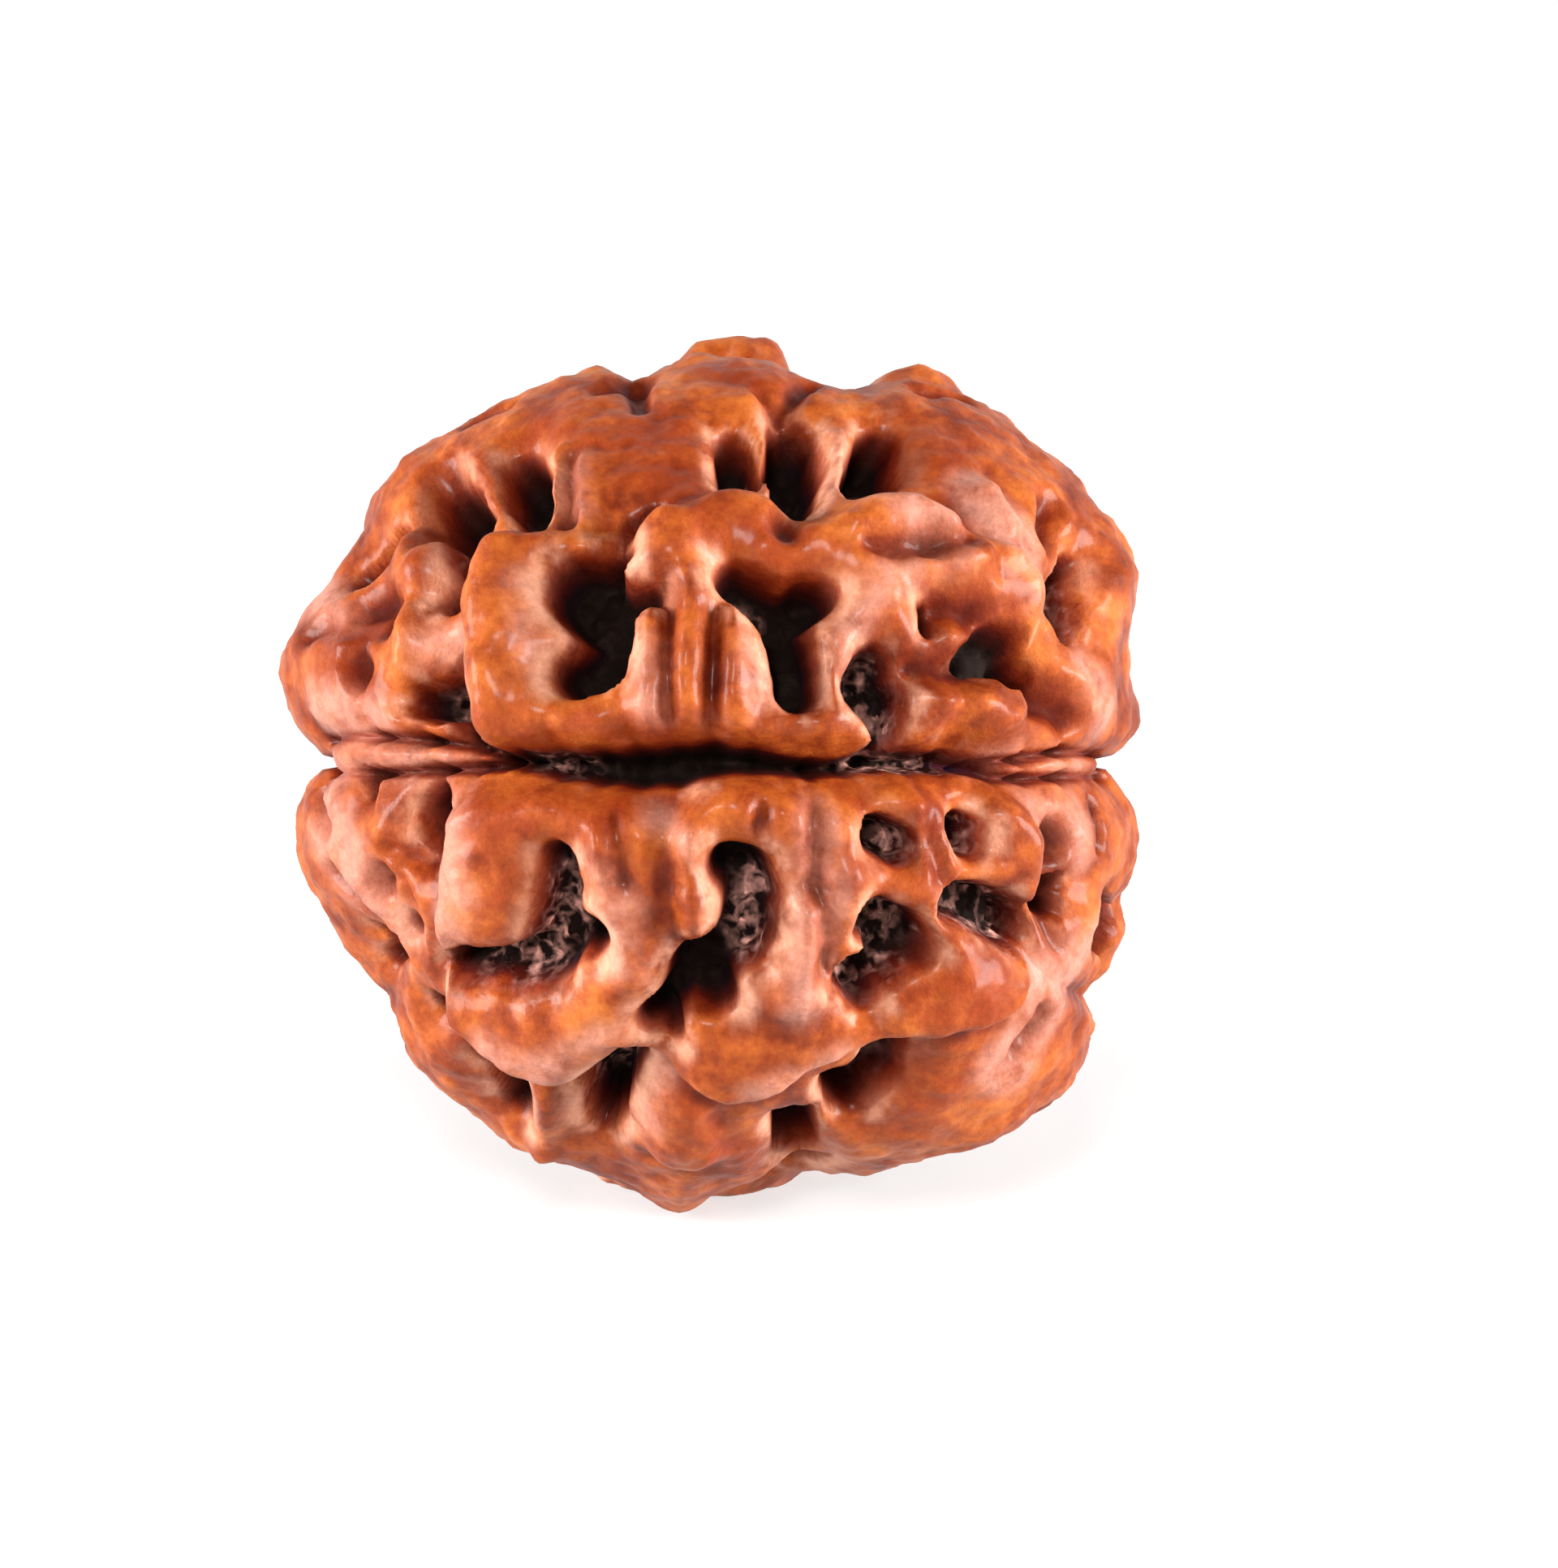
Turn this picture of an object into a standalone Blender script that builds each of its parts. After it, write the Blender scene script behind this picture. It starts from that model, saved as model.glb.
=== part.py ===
"""Two-faced rudraksha bead: a ripe Elaeocarpus stone with a straight cleft, netted ridges and deep pits.

All positions are in millimetres in the bead's own frame: X runs through both poles and the
stringing hole, the photographed face looks along -Y, and Z points to the top of that face.
"""
import math

import bmesh
import bpy
import numpy as np
from mathutils import Matrix, Vector, noise

# Driving dimensions, in millimetres
MM = 0.001
RIM_RADIUS = 10.6
FACE_RADIUS = 10.2
HOLE_DIAMETER = 1.6
CLEFT_PLANE = 0.4
PIT_DEPTH = 2.0
PIT_SPREAD = 1.17
HOLLOW_DEPTH = 0.8
CREASE_DEPTH = 0.4
PLATE_RISE = 0.8
RIDGE_RISE = 0.38
RIM_DROP = 0.6
RIM_ROUND = 0.5
WALL = 0.36
AXIS_ROUND = 0.08
REST_HEIGHT = 10.55
REST_RADIUS = 10.7
ROLL = math.radians(18)
GRID = 72
DECIMATE = 0.14
SEED = 27

# Outline of the photographed face, x and z, clockwise from the left pole
OUTLINE = [
    (-10.5, 0.6), (-10.85, 1.6), (-11.0, 3.0), (-10.6, 4.3), (-10.0, 5.2), (-9.0, 6.3), (-8.6, 7.2),
    (-8.0, 8.1), (-7.0, 8.75), (-5.0, 9.9), (-4.0, 10.3), (-3.0, 10.45), (-2.1, 9.95), (-1.5, 10.3),
    (-0.5, 10.85), (0.5, 11.0), (1.5, 10.8), (2.4, 10.25), (3.2, 9.88), (4.0, 10.05), (5.0, 10.25),
    (6.0, 9.9), (7.0, 9.35), (8.0, 8.5), (9.0, 7.75), (9.8, 6.8), (10.95, 5.3), (10.6, 3.5),
    (10.6, 2.5), (10.9, 1.3), (10.3, 0.1), (10.45, -0.9), (10.6, -2.1), (10.55, -3.2), (10.9, -4.1),
    (10.2, -5.0), (9.1, -5.45), (9.7, -6.2), (9.3, -7.3), (8.6, -8.2), (8.0, -9.0), (7.0, -9.55),
    (5.7, -9.75), (4.0, -9.9), (2.0, -10.25), (0.0, -10.65), (-0.9, -10.95), (-2.0, -10.3),
    (-4.0, -9.7), (-5.2, -9.35), (-6.0, -8.5), (-7.0, -7.9), (-7.7, -7.1), (-8.2, -5.5),
    (-9.4, -4.15), (-10.3, -3.0), (-10.65, -2.0), (-10.6, 0.1),
]

# The cleft across the photographed face: x, z of its middle and half its gape
FRONT_CLEFT = [
    [(-5.6, 0.45, 0.14), (-5.0, 0.45, 0.22), (-4.0, 0.3, 0.33), (-3.0, 0.25, 0.41), (-2.0, 0.22, 0.47),
     (-1.0, 0.3, 0.48), (0.0, 0.48, 0.38), (1.0, 0.42, 0.27), (2.5, 0.22, 0.19), (3.5, 0.28, 0.18),
     (4.2, 0.48, 0.3), (5.0, 0.4, 0.24), (6.0, 0.38, 0.24), (7.0, 0.25, 0.18), (7.5, 0.17, 0.12)],
    [(-10.3, 1.0, 0.05), (-9.0, 1.1, 0.08), (-7.6, 1.0, 0.08), (-6.3, 0.8, 0.08), (-5.6, 0.6, 0.1)],
    [(-10.3, 0.1, 0.05), (-9.0, 0.1, 0.09), (-7.4, 0.2, 0.1), (-6.3, 0.25, 0.1), (-5.6, 0.35, 0.12)],
    [(7.3, 0.4, 0.08), (8.2, 0.5, 0.08), (9.2, 0.7, 0.08), (10.2, 0.6, 0.05)],
    [(7.3, 0.0, 0.08), (8.2, -0.05, 0.08), (9.2, 0.0, 0.08), (10.2, 0.0, 0.05)],
]

# Deep pits of the photographed face: chains of x, z and radius
FRONT_PITS = [
    [(-7.15, 7.6, 0.44), (-6.85, 7.1, 0.56), (-6.45, 6.5, 0.5), (-6.4, 5.9, 0.38), (-6.5, 5.0, 0.34),
     (-6.9, 4.6, 0.26)],
    [(-5.1, 8.2, 0.42), (-4.9, 7.5, 0.52), (-4.65, 6.75, 0.4)],
    [(-9.35, 5.3, 0.34), (-8.8, 5.75, 0.46), (-8.4, 6.2, 0.38)],
    [(0.45, 8.75, 0.42), (0.6, 7.8, 0.46)],
    [(2.0, 9.05, 0.5), (2.05, 8.1, 0.6), (2.05, 7.3, 0.4), (2.05, 6.9, 0.2)],
    [(4.3, 8.95, 0.42), (4.1, 8.0, 0.54), (3.85, 7.5, 0.42), (4.3, 7.5, 0.3)],
    [(9.45, 5.7, 0.22), (9.4, 5.0, 0.36), (9.3, 4.4, 0.4), (9.25, 3.9, 0.26)],
    [(-7.7, 1.95, 0.3), (-7.2, 2.0, 0.42), (-6.7, 2.2, 0.48), (-6.5, 2.9, 0.3)],
    [(-6.6, 2.1, 0.38), (-6.4, 1.6, 0.34), (-6.6, 1.2, 0.2)],
    [(-3.2, 4.6, 0.8), (-2.9, 4.2, 0.72), (-2.6, 3.5, 0.48), (-2.9, 2.8, 0.58), (-3.4, 2.5, 0.48)],
    [(-2.8, 4.3, 0.42), (-2.0, 4.3, 0.3), (-1.6, 4.4, 0.2)],
    [(-3.1, 4.9, 0.4), (-2.3, 5.4, 0.22)],
    [(0.5, 4.8, 0.42), (0.95, 4.5, 0.5), (1.6, 4.15, 0.54), (2.2, 4.4, 0.48), (2.55, 4.45, 0.36)],
    [(1.6, 4.0, 0.46), (1.8, 3.4, 0.44), (1.95, 2.7, 0.42), (2.0, 2.1, 0.44)],
    [(3.9, 2.7, 0.46), (3.8, 2.2, 0.54), (4.1, 2.0, 0.5), (4.2, 1.5, 0.36), (4.3, 1.0, 0.2)],
    [(5.1, 4.1, 0.1), (5.2, 3.65, 0.16)],
    [(6.4, 3.0, 0.3), (7.0, 3.15, 0.52), (7.4, 2.95, 0.56), (7.9, 2.7, 0.4), (8.4, 2.4, 0.2)],
    [(-7.3, -0.5, 0.32), (-7.4, -1.0, 0.42), (-7.4, -1.5, 0.4), (-7.3, -1.9, 0.26)],
    [(-9.3, 0.05, 0.12), (-9.1, -0.3, 0.2)],
    [(-7.9, -3.75, 0.16), (-7.9, -3.9, 0.16)],
    [(-8.9, -4.0, 0.2), (-8.4, -4.4, 0.28), (-8.6, -4.8, 0.2)],
    [(-3.85, -2.0, 0.36), (-3.8, -2.6, 0.42), (-3.85, -3.2, 0.46), (-3.9, -3.9, 0.58), (-4.1, -4.4, 0.6)],
    [(-4.3, -4.6, 0.5), (-5.2, -4.7, 0.44), (-6.0, -4.65, 0.42), (-6.6, -4.7, 0.34)],
    [(-3.9, -3.9, 0.44), (-3.2, -3.9, 0.44), (-3.0, -3.8, 0.36)],
    [(-4.3, -4.8, 0.36), (-5.0, -5.0, 0.3)],
    [(-7.2, -6.0, 0.34), (-6.6, -6.4, 0.32)],
    [(-6.0, -7.3, 0.42), (-5.5, -7.8, 0.54), (-5.3, -8.6, 0.48)],
    [(0.35, -2.1, 0.42), (0.7, -2.3, 0.5), (0.9, -2.9, 0.5), (0.8, -3.6, 0.5), (0.6, -4.1, 0.5),
     (-0.1, -4.5, 0.6), (-0.3, -4.9, 0.66), (-0.1, -5.3, 0.52)],
    [(-0.6, -5.2, 0.44), (-1.2, -5.7, 0.34), (-1.5, -5.9, 0.28), (-1.1, -6.2, 0.24)],
    [(-2.1, -7.1, 0.24), (-2.6, -7.6, 0.44), (-2.9, -8.2, 0.5), (-2.9, -8.8, 0.4), (-3.0, -9.2, 0.24)],
    [(-3.0, -8.0, 0.3), (-3.6, -7.9, 0.14)],
    [(4.0, -1.4, 0.42), (4.45, -1.65, 0.42)],
    [(6.2, -1.35, 0.38), (6.25, -1.65, 0.28)],
    [(5.9, -3.1, 0.42), (6.3, -3.15, 0.42), (6.9, -3.4, 0.48), (7.5, -3.75, 0.48), (7.9, -4.0, 0.36)],
    [(8.9, -2.8, 0.26), (8.6, -3.1, 0.3), (8.9, -3.5, 0.2)],
    [(3.9, -3.5, 0.5), (4.6, -3.9, 0.5), (4.9, -4.2, 0.44), (4.2, -4.6, 0.46), (3.5, -4.9, 0.46),
     (3.6, -5.3, 0.34)],
    [(4.5, -7.1, 0.46), (4.2, -7.8, 0.58), (3.6, -8.5, 0.48), (3.2, -8.0, 0.36)],
    [(2.05, -8.9, 0.44), (2.1, -9.8, 0.48)],
]

# Shallow hollows of the photographed face
FRONT_HOLLOWS = [
    [(-7.1, 7.8, 0.35), (-7.3, 7.1, 0.5), (-7.4, 6.3, 0.3)],
    [(-9.2, 4.3, 0.3), (-8.7, 4.5, 0.4), (-8.3, 4.2, 0.25)],
    [(-9.2, 3.1, 0.2), (-9.1, 2.7, 0.28)],
    [(5.6, 4.1, 0.2), (6.2, 3.95, 0.3)],
    [(4.9, 2.75, 0.24), (5.5, 2.65, 0.3), (6.3, 2.65, 0.28)],
    [(1.7, 5.9, 0.16), (1.7, 6.1, 0.18)],
    [(8.7, 5.1, 0.15), (8.75, 4.3, 0.15)],
    [(8.5, 6.9, 0.15), (8.5, 6.2, 0.17)],
    [(8.2, 2.2, 0.42), (9.1, 1.7, 0.36)],
    [(-8.5, -2.5, 0.22), (-8.5, -2.7, 0.22)],
    [(8.6, -1.6, 0.36), (8.6, -1.9, 0.36)],
    [(6.1, -9.6, 0.3), (7.4, -9.3, 0.45), (8.1, -8.8, 0.3)],
    [(-1.2, 4.35, 0.12), (-1.1, 4.35, 0.12)],
]

# Fine creases of the photographed face
FRONT_CREASES = [
    [(-6.2, 9.05, 0.15), (-5.3, 9.4, 0.15)],
    [(-2.9, 9.8, 0.2), (-2.0, 9.85, 0.25), (-1.9, 9.3, 0.1)],
    [(5.2, 9.8, 0.15), (6.2, 9.6, 0.15)],
    [(1.2, 9.8, 0.15), (1.6, 9.5, 0.2), (2.4, 9.95, 0.15)],
    [(3.6, 5.5, 0.12), (4.2, 5.35, 0.16), (5.0, 5.45, 0.2), (5.9, 5.6, 0.12)],
    [(-9.5, 3.7, 0.1), (-8.9, 3.65, 0.12), (-8.4, 3.8, 0.12), (-8.15, 4.1, 0.1)],
    [(-10.4, 3.6, 0.15), (-10.1, 3.9, 0.15), (-9.8, 3.8, 0.15)],
    [(-10.3, -0.5, 0.1), (-9.9, -1.3, 0.1)],
    [(-8.3, -1.8, 0.12), (-7.9, -2.1, 0.12), (-7.4, -2.3, 0.12)],
    [(-8.0, -2.6, 0.1), (-7.75, -3.1, 0.1)],
    [(-9.7, -2.4, 0.12), (-9.2, -3.0, 0.12), (-8.7, -3.6, 0.12)],
    [(1.15, -0.75, 0.1), (1.0, -1.2, 0.1)],
    [(8.6, -3.6, 0.12), (8.75, -4.3, 0.12)],
    [(9.7, -0.7, 0.1), (9.7, -1.7, 0.1)],
    [(10.1, -3.6, 0.1), (10.1, -4.4, 0.1)],
    [(8.2, -5.9, 0.1), (8.0, -6.5, 0.1), (7.6, -6.9, 0.1)],
    [(-1.1, 1.4, 0.1), (-1.05, 3.9, 0.12)],
    [(-0.1, 1.3, 0.1), (0.0, 3.9, 0.12)],
    [(-3.65, 6.3, 0.1), (-3.7, 8.1, 0.1)],
    [(-2.6, 5.5, 0.2), (-1.9, 6.2, 0.18), (-1.5, 6.6, 0.12)],
    [(-2.4, -0.9, 0.1), (-2.2, -2.4, 0.12)],
    [(2.3, -0.8, 0.12), (2.4, -2.6, 0.12), (2.6, -4.6, 0.12)],
    [(5.2, -0.9, 0.15), (5.4, -2.4, 0.12)],
]

# Raised plates beside the cleft: fingers that end in the scalloped edge
FRONT_PLATES = [
    [(-4.95, 1.8, 1.15), (-4.8, 4.6, 1.45)],
    [(-3.0, 1.8, 1.0), (-3.3, 4.4, 1.5)],
    [(-1.2, 2.0, 1.0), (-1.2, 5.5, 0.9)],
    [(0.7, 2.0, 1.2), (0.6, 5.9, 1.25)],
    [(2.6, 2.0, 1.0), (2.7, 4.9, 1.2)],
    [(4.6, 2.0, 1.2), (4.3, 5.3, 1.65)],
    [(6.8, 2.0, 1.0), (6.9, 4.4, 1.3)],
    [(-5.6, -1.6, 1.1), (-5.6, -5.4, 1.45)],
    [(-4.0, -1.6, 1.2), (-4.2, -6.3, 1.5)],
    [(-2.4, -1.6, 1.0), (-2.3, -5.5, 1.2)],
    [(0.6, -1.6, 1.5), (0.6, -6.6, 1.55)],
    [(2.4, -1.6, 1.0), (2.6, -5.6, 1.4)],
    [(4.6, -1.6, 1.2), (5.0, -5.0, 1.5)],
    [(7.0, -1.6, 1.0), (6.7, -4.6, 1.35)],
]

# Narrow raised ridges and knobs of the photographed face
FRONT_RIDGES = [
    [(-5.35, 1.2, 0.4), (-5.4, 3.4, 0.45), (-5.2, 5.4, 0.4)],
    [(3.05, 6.9, 0.16), (3.1, 8.7, 0.2)],
    [(3.4, 5.9, 0.25), (4.0, 6.4, 0.35), (4.8, 6.6, 0.38), (5.4, 6.2, 0.3), (5.6, 5.9, 0.2)],
    [(-7.2, 5.7, 0.6), (-7.5, 5.2, 0.4)],
    [(-4.05, 6.4, 0.2), (-4.0, 8.1, 0.22)],
    [(-3.3, 6.3, 0.2), (-3.3, 7.9, 0.2)],
    [(-1.5, 1.4, 0.25), (-1.55, 3.8, 0.28)],
    [(-0.65, 1.4, 0.3), (-0.6, 4.6, 0.35)],
    [(0.45, 1.4, 0.25), (0.4, 3.8, 0.25)],
    [(-1.3, 5.3, 0.6), (-1.2, 5.7, 0.7)],
    [(6.7, 7.0, 0.4), (7.2, 6.3, 0.35)],
    [(-8.2, 1.35, 0.14), (-6.9, 1.5, 0.2)],
    [(-4.3, -8.1, 0.25), (-4.3, -9.4, 0.3)],
    [(-0.9, -8.4, 0.6), (-0.8, -9.3, 0.8)],
    [(8.7, -2.25, 0.2), (8.9, -2.35, 0.2)],
    [(3.2, -1.2, 0.3), (3.3, -3.4, 0.3)],
    [(-2.6, -1.4, 0.3), (-2.4, -3.2, 0.25), (-2.0, -4.6, 0.3)],
    [(-0.6, -1.4, 0.3), (-0.4, -3.6, 0.3)],
    [(2.2, -3.2, 0.25), (1.9, -5.2, 0.3)],
    [(-7.9, 2.7, 0.25), (-7.6, 4.1, 0.3)],
    [(5.0, 4.9, 0.18), (6.2, 5.1, 0.2)],
]


def smooth_step(value):
    value = np.clip(value, 0.0, 1.0)
    return value * value * (3.0 - 2.0 * value)


# Outline radius as a function of the angle round Y, and the same with its lobes smoothed away
TURN = np.radians(np.arange(0, 360, 1.0))
outline = np.array(OUTLINE)
outline_angle = np.arctan2(outline[:, 1], outline[:, 0]) % (2 * math.pi)
order = np.argsort(outline_angle)
LOBED = np.interp(TURN, outline_angle[order], np.hypot(outline[:, 0], outline[:, 1])[order], period=2 * math.pi)
reach = np.minimum(np.arange(360), 360 - np.arange(360))
blur = np.exp(-((reach / 20.0) ** 2))
ROUND = np.real(np.fft.ifft(np.fft.fft(LOBED) * np.fft.fft(blur / blur.sum())))


def envelope(points):
    """Radius of the ridge tops in each direction: lobes fade away from the rim, front and back."""
    angle = np.arctan2(points[:, 2], points[:, 0]) % (2 * math.pi)
    tilt = np.degrees(np.arcsin(np.clip(np.abs(points[:, 1]), 0, 1)))
    lobed = np.interp(angle, TURN, LOBED, period=2 * math.pi)
    rounded = np.interp(angle, TURN, ROUND, period=2 * math.pi)
    return (
        FACE_RADIUS
        + (rounded - FACE_RADIUS) * np.exp(-((tilt / 50.0) ** 2))
        + (lobed - rounded) * np.exp(-((tilt / 20.0) ** 2))
    )


def on_face(x, z, side):
    """Direction whose surface point is seen at x, z when the face on that side is looked at squarely."""
    across = math.hypot(x, z)
    turn = math.atan2(z, x)
    radius = RIM_RADIUS
    for _ in range(4):
        sine = min(across / radius, 0.996)
        direction = np.array([[sine * math.cos(turn), side * math.sqrt(1 - sine * sine), sine * math.sin(turn)]])
        radius = float(envelope(direction)[0])
    return direction[0]


def chains_on(chains, side):
    """Each chain as a list of positions on the rim sphere with their radii."""
    return [[(on_face(x, z, side) * RIM_RADIUS, r) for x, z, r in chain] for chain in chains]


def distance_to(points, chains, blend):
    """Smooth distance from each direction on the rim sphere to the nearest tapered chain, negative inside."""
    total = np.zeros(len(points))
    for chain in chains:
        for (start, start_radius), (end, end_radius) in zip(chain, chain[1:]):
            along = end - start
            part = np.clip((points - start) @ along / max(float(along @ along), 1e-9), 0, 1)
            away = points - start - part[:, None] * along
            gap = np.sqrt((away ** 2).sum(axis=1) + AXIS_ROUND ** 2) - AXIS_ROUND
            total += np.exp(-(gap - start_radius - part * (end_radius - start_radius)) / blend)
    return -blend * np.log(total + 1e-60)


def wander(rng, start, steps, stride, radius, heading):
    """A short chain that starts at a direction and wanders over the sphere, mostly along its heading."""
    chain = [(start * RIM_RADIUS, radius * rng.uniform(0.7, 1.0))]
    here = start
    for _ in range(steps):
        heading = heading + rng.normal(0, 0.45, 3)
        heading = heading - here * float(heading @ here)
        heading = heading / np.linalg.norm(heading)
        here = here + heading * stride * rng.uniform(0.7, 1.2) / RIM_RADIUS
        here = here / np.linalg.norm(here)
        chain.append((here * RIM_RADIUS, radius * rng.uniform(0.6, 1.1)))
    return chain


# Features of the photographed face
pits = [[(place, r * PIT_SPREAD) for place, r in chain] for chain in chains_on(FRONT_PITS, -1)]
pits += chains_on(FRONT_CLEFT, -1)
hollows = chains_on(FRONT_HOLLOWS, -1)
creases = chains_on(FRONT_CREASES, -1)
plates = chains_on(FRONT_PLATES, -1)
ridges = chains_on(FRONT_RIDGES, -1)

# The cleft goes on round the back, wavering a little
rng = np.random.default_rng(SEED)
back_cleft = [(x, CLEFT_PLANE + rng.uniform(-0.15, 0.15), 0.34 * (1 - (abs(x) / 11.5) ** 2) + 0.06)
              for x in np.linspace(-10.3, 10.3, 15)]
pits += chains_on([back_cleft], 1)

# Both clefts run out as a fine seam into the poles
for side in (-1.0, 1.0):
    pole = np.array([side * RIM_RADIUS, 0.0, CLEFT_PLANE])
    for face in (-1, 1):
        seam_end = on_face(side * 10.2, CLEFT_PLANE, face) * RIM_RADIUS
        pits.append([(seam_end, 0.12), (pole, 0.16)])

# Back of the bead: fingers of plate, scattered pits and creases like those of the photographed face
for x in (-7.0, -4.4, -1.9, 0.8, 3.3, 5.6, 7.6):
    for up in (1, -1):
        tip = rng.uniform(4.4, 6.2) * (1 - (x / 13) ** 2)
        lean = x + rng.uniform(-0.5, 0.5)
        plates += chains_on([[(x, CLEFT_PLANE + up * 1.6, 1.1), (lean, up * tip, rng.uniform(1.2, 1.6))]], 1)
down = np.array([0.0, math.sin(ROLL), -math.cos(ROLL)])
taken = [(spot / RIM_RADIUS, 2.0) for chain in pits[:-1] for spot, _ in chain]
for _ in range(9000):
    spot = rng.normal(0, 1, 3)
    spot = spot / np.linalg.norm(spot)
    near_cleft = abs(spot[2] * RIM_RADIUS - CLEFT_PLANE) < 1.7
    near_pole = abs(spot[0]) > 0.955
    near_rest = np.linalg.norm(spot - down) * RIM_RADIUS < 2.9
    if spot[1] < 0.0 or near_cleft or near_pole or near_rest:
        continue
    if any(np.linalg.norm(spot - other) * RIM_RADIUS < room for other, room in taken):
        continue
    upright = np.array([0.0, 0.0, 1.0 if rng.random() < 0.5 else -1.0])
    chain = wander(rng, spot, int(rng.integers(1, 5)), 0.8, rng.uniform(0.4, 0.72), upright)
    if len(chain) > 2 and rng.random() < 0.6:
        fork = wander(rng, chain[1][0] / RIM_RADIUS, 1, 0.9, 0.45, np.array([1.0, 0.0, 0.3]))
    else:
        fork = []
    for branch in (chain, fork):
        branch = [
            (place, size) for place, size in branch
            if abs(place[2] - CLEFT_PLANE) > 1.35 and np.linalg.norm(place - down * RIM_RADIUS) > 2.7
        ]
        if len(branch) > 1:
            pits.append(branch)
            taken += [(place / RIM_RADIUS, 2.2) for place, _ in branch]
for _ in range(130):
    spot = rng.normal(0, 1, 3)
    spot = spot / np.linalg.norm(spot)
    if spot[1] < 0.05 or abs(spot[0]) > 0.965 or np.linalg.norm(spot - down) * RIM_RADIUS < 2.6:
        continue
    target = creases if rng.random() < 0.5 else ridges
    target.append(wander(rng, spot, 2, 0.9, 0.14 if target is creases else 0.34, np.array([0.0, 0.0, 1.0])))

# A dimple round each end of the stringing hole
for side in (-1.0, 1.0):
    pole = np.array([side * RIM_RADIUS, 0.0, CLEFT_PLANE])
    hollows.append([(pole, 0.8), (pole + np.array([0.0, 0.1, 0.0]), 0.8)])


def relief(directions):
    """Surface radius in each direction, in millimetres."""
    points = directions * RIM_RADIUS
    radius = envelope(directions)
    facing = smooth_step((np.abs(directions[:, 1]) - 0.12) / 0.3)
    rise = PLATE_RISE * smooth_step(0.5 - distance_to(points, plates, 0.4) / 0.8)
    radius = radius + rise * facing
    radius = radius + RIDGE_RISE * smooth_step(0.5 - distance_to(points, ridges, 0.15) / 0.8)
    to_pit = distance_to(points, pits, 0.1)
    outside = RIM_DROP * np.exp(-np.maximum(to_pit, 0) / RIM_ROUND)
    inside = (PIT_DEPTH - RIM_DROP) * (1 - (1 - np.clip(-to_pit / WALL, 0, 1)) ** 2)
    radius = radius - outside - inside
    radius = radius - HOLLOW_DEPTH * smooth_step(0.5 - distance_to(points, hollows, 0.12) / 0.9)
    radius = radius - CREASE_DEPTH * smooth_step(0.5 - distance_to(points, creases, 0.1) / 0.5)
    behind = smooth_step(0.5 + (directions - down) @ np.array([0.0, 3.0, 0.0]))
    rest = np.linalg.norm(directions - down, axis=1) * RIM_RADIUS * (1 - 0.35 * behind)
    radius = radius + (REST_RADIUS - radius) * smooth_step((3.0 - rest) / 1.3)
    swell = np.array([noise.noise(Vector(point) * 0.36) for point in points])
    grain = np.array([noise.fractal(Vector(point) * 0.75, 1.0, 2.0, 3) for point in points])
    unseen = smooth_step(0.5 + directions[:, 1])
    return radius + (0.1 * grain + 0.6 * swell * unseen) * smooth_step((rest - 1.5) / 1.5)


# Clear the scene
for old in list(bpy.data.objects):
    bpy.data.objects.remove(old, do_unlink=True)

# A cube divided evenly and blown up to a sphere, then shaped by the relief
mesh = bpy.data.meshes.new("rudraksha_bead")
body = bmesh.new()
bmesh.ops.create_cube(body, size=2.0)
bmesh.ops.subdivide_edges(body, edges=body.edges[:], cuts=GRID - 1, use_grid_fill=True)
corners = np.tan(np.array([vertex.co for vertex in body.verts]) * math.pi / 4)
directions = corners / np.linalg.norm(corners, axis=1)[:, None]
shaped = directions * relief(directions)[:, None]

# Roll the bead about its axis so that the photographed face looks up a little, and stand it at z = 0
roll = Matrix.Rotation(-ROLL, 4, "X")
turned = shaped @ np.array(roll.to_3x3()).T
middle = (turned.max(axis=0) + turned.min(axis=0)) / 2
stand = Matrix.Translation((-middle[0] * MM, -middle[1] * MM, REST_HEIGHT * MM))
turned = turned * MM + np.array(stand.translation)
for vertex, place in zip(body.verts, turned):
    vertex.co = place
bmesh.ops.recalc_face_normals(body, faces=body.faces[:])
body.to_mesh(mesh)
body.free()
mesh.shade_smooth()
bead = bpy.data.objects.new("rudraksha_bead", mesh)
bpy.context.collection.objects.link(bead)

# Orange-brown, oiled stone
finish = bpy.data.materials.new("oiled_stone")
finish.use_nodes = True
surface = finish.node_tree.nodes["Principled BSDF"]
surface.inputs["Base Color"].default_value = (0.55, 0.13, 0.04, 1.0)
surface.inputs["Roughness"].default_value = 0.4
surface.inputs["Metallic"].default_value = 0.0
mesh.materials.append(finish)

# Fewer facets where the surface is plain
thin = bead.modifiers.new("thin", "DECIMATE")
thin.ratio = DECIMATE


def cutter(name, form):
    """Takes this form out of the bead."""
    shape = bpy.data.meshes.new(name)
    form.to_mesh(shape)
    form.free()
    made = bpy.data.objects.new(name, shape)
    made.hide_render = True
    made.display_type = "WIRE"
    bpy.context.collection.objects.link(made)
    cut = bead.modifiers.new(name, "BOOLEAN")
    cut.operation = "DIFFERENCE"
    cut.object = made
    cut.solver = "EXACT"


# The stringing hole, pole to pole along X
hole = bmesh.new()
lie_along_x = Matrix.Translation((0, 0, CLEFT_PLANE * MM)) @ Matrix.Rotation(math.pi / 2, 4, "Y")
bmesh.ops.create_cone(
    hole, cap_ends=True, segments=20, radius1=HOLE_DIAMETER / 2 * MM, radius2=HOLE_DIAMETER / 2 * MM,
    depth=30 * MM, matrix=stand @ roll @ lie_along_x,
)
cutter("stringing_hole", hole)

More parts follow.
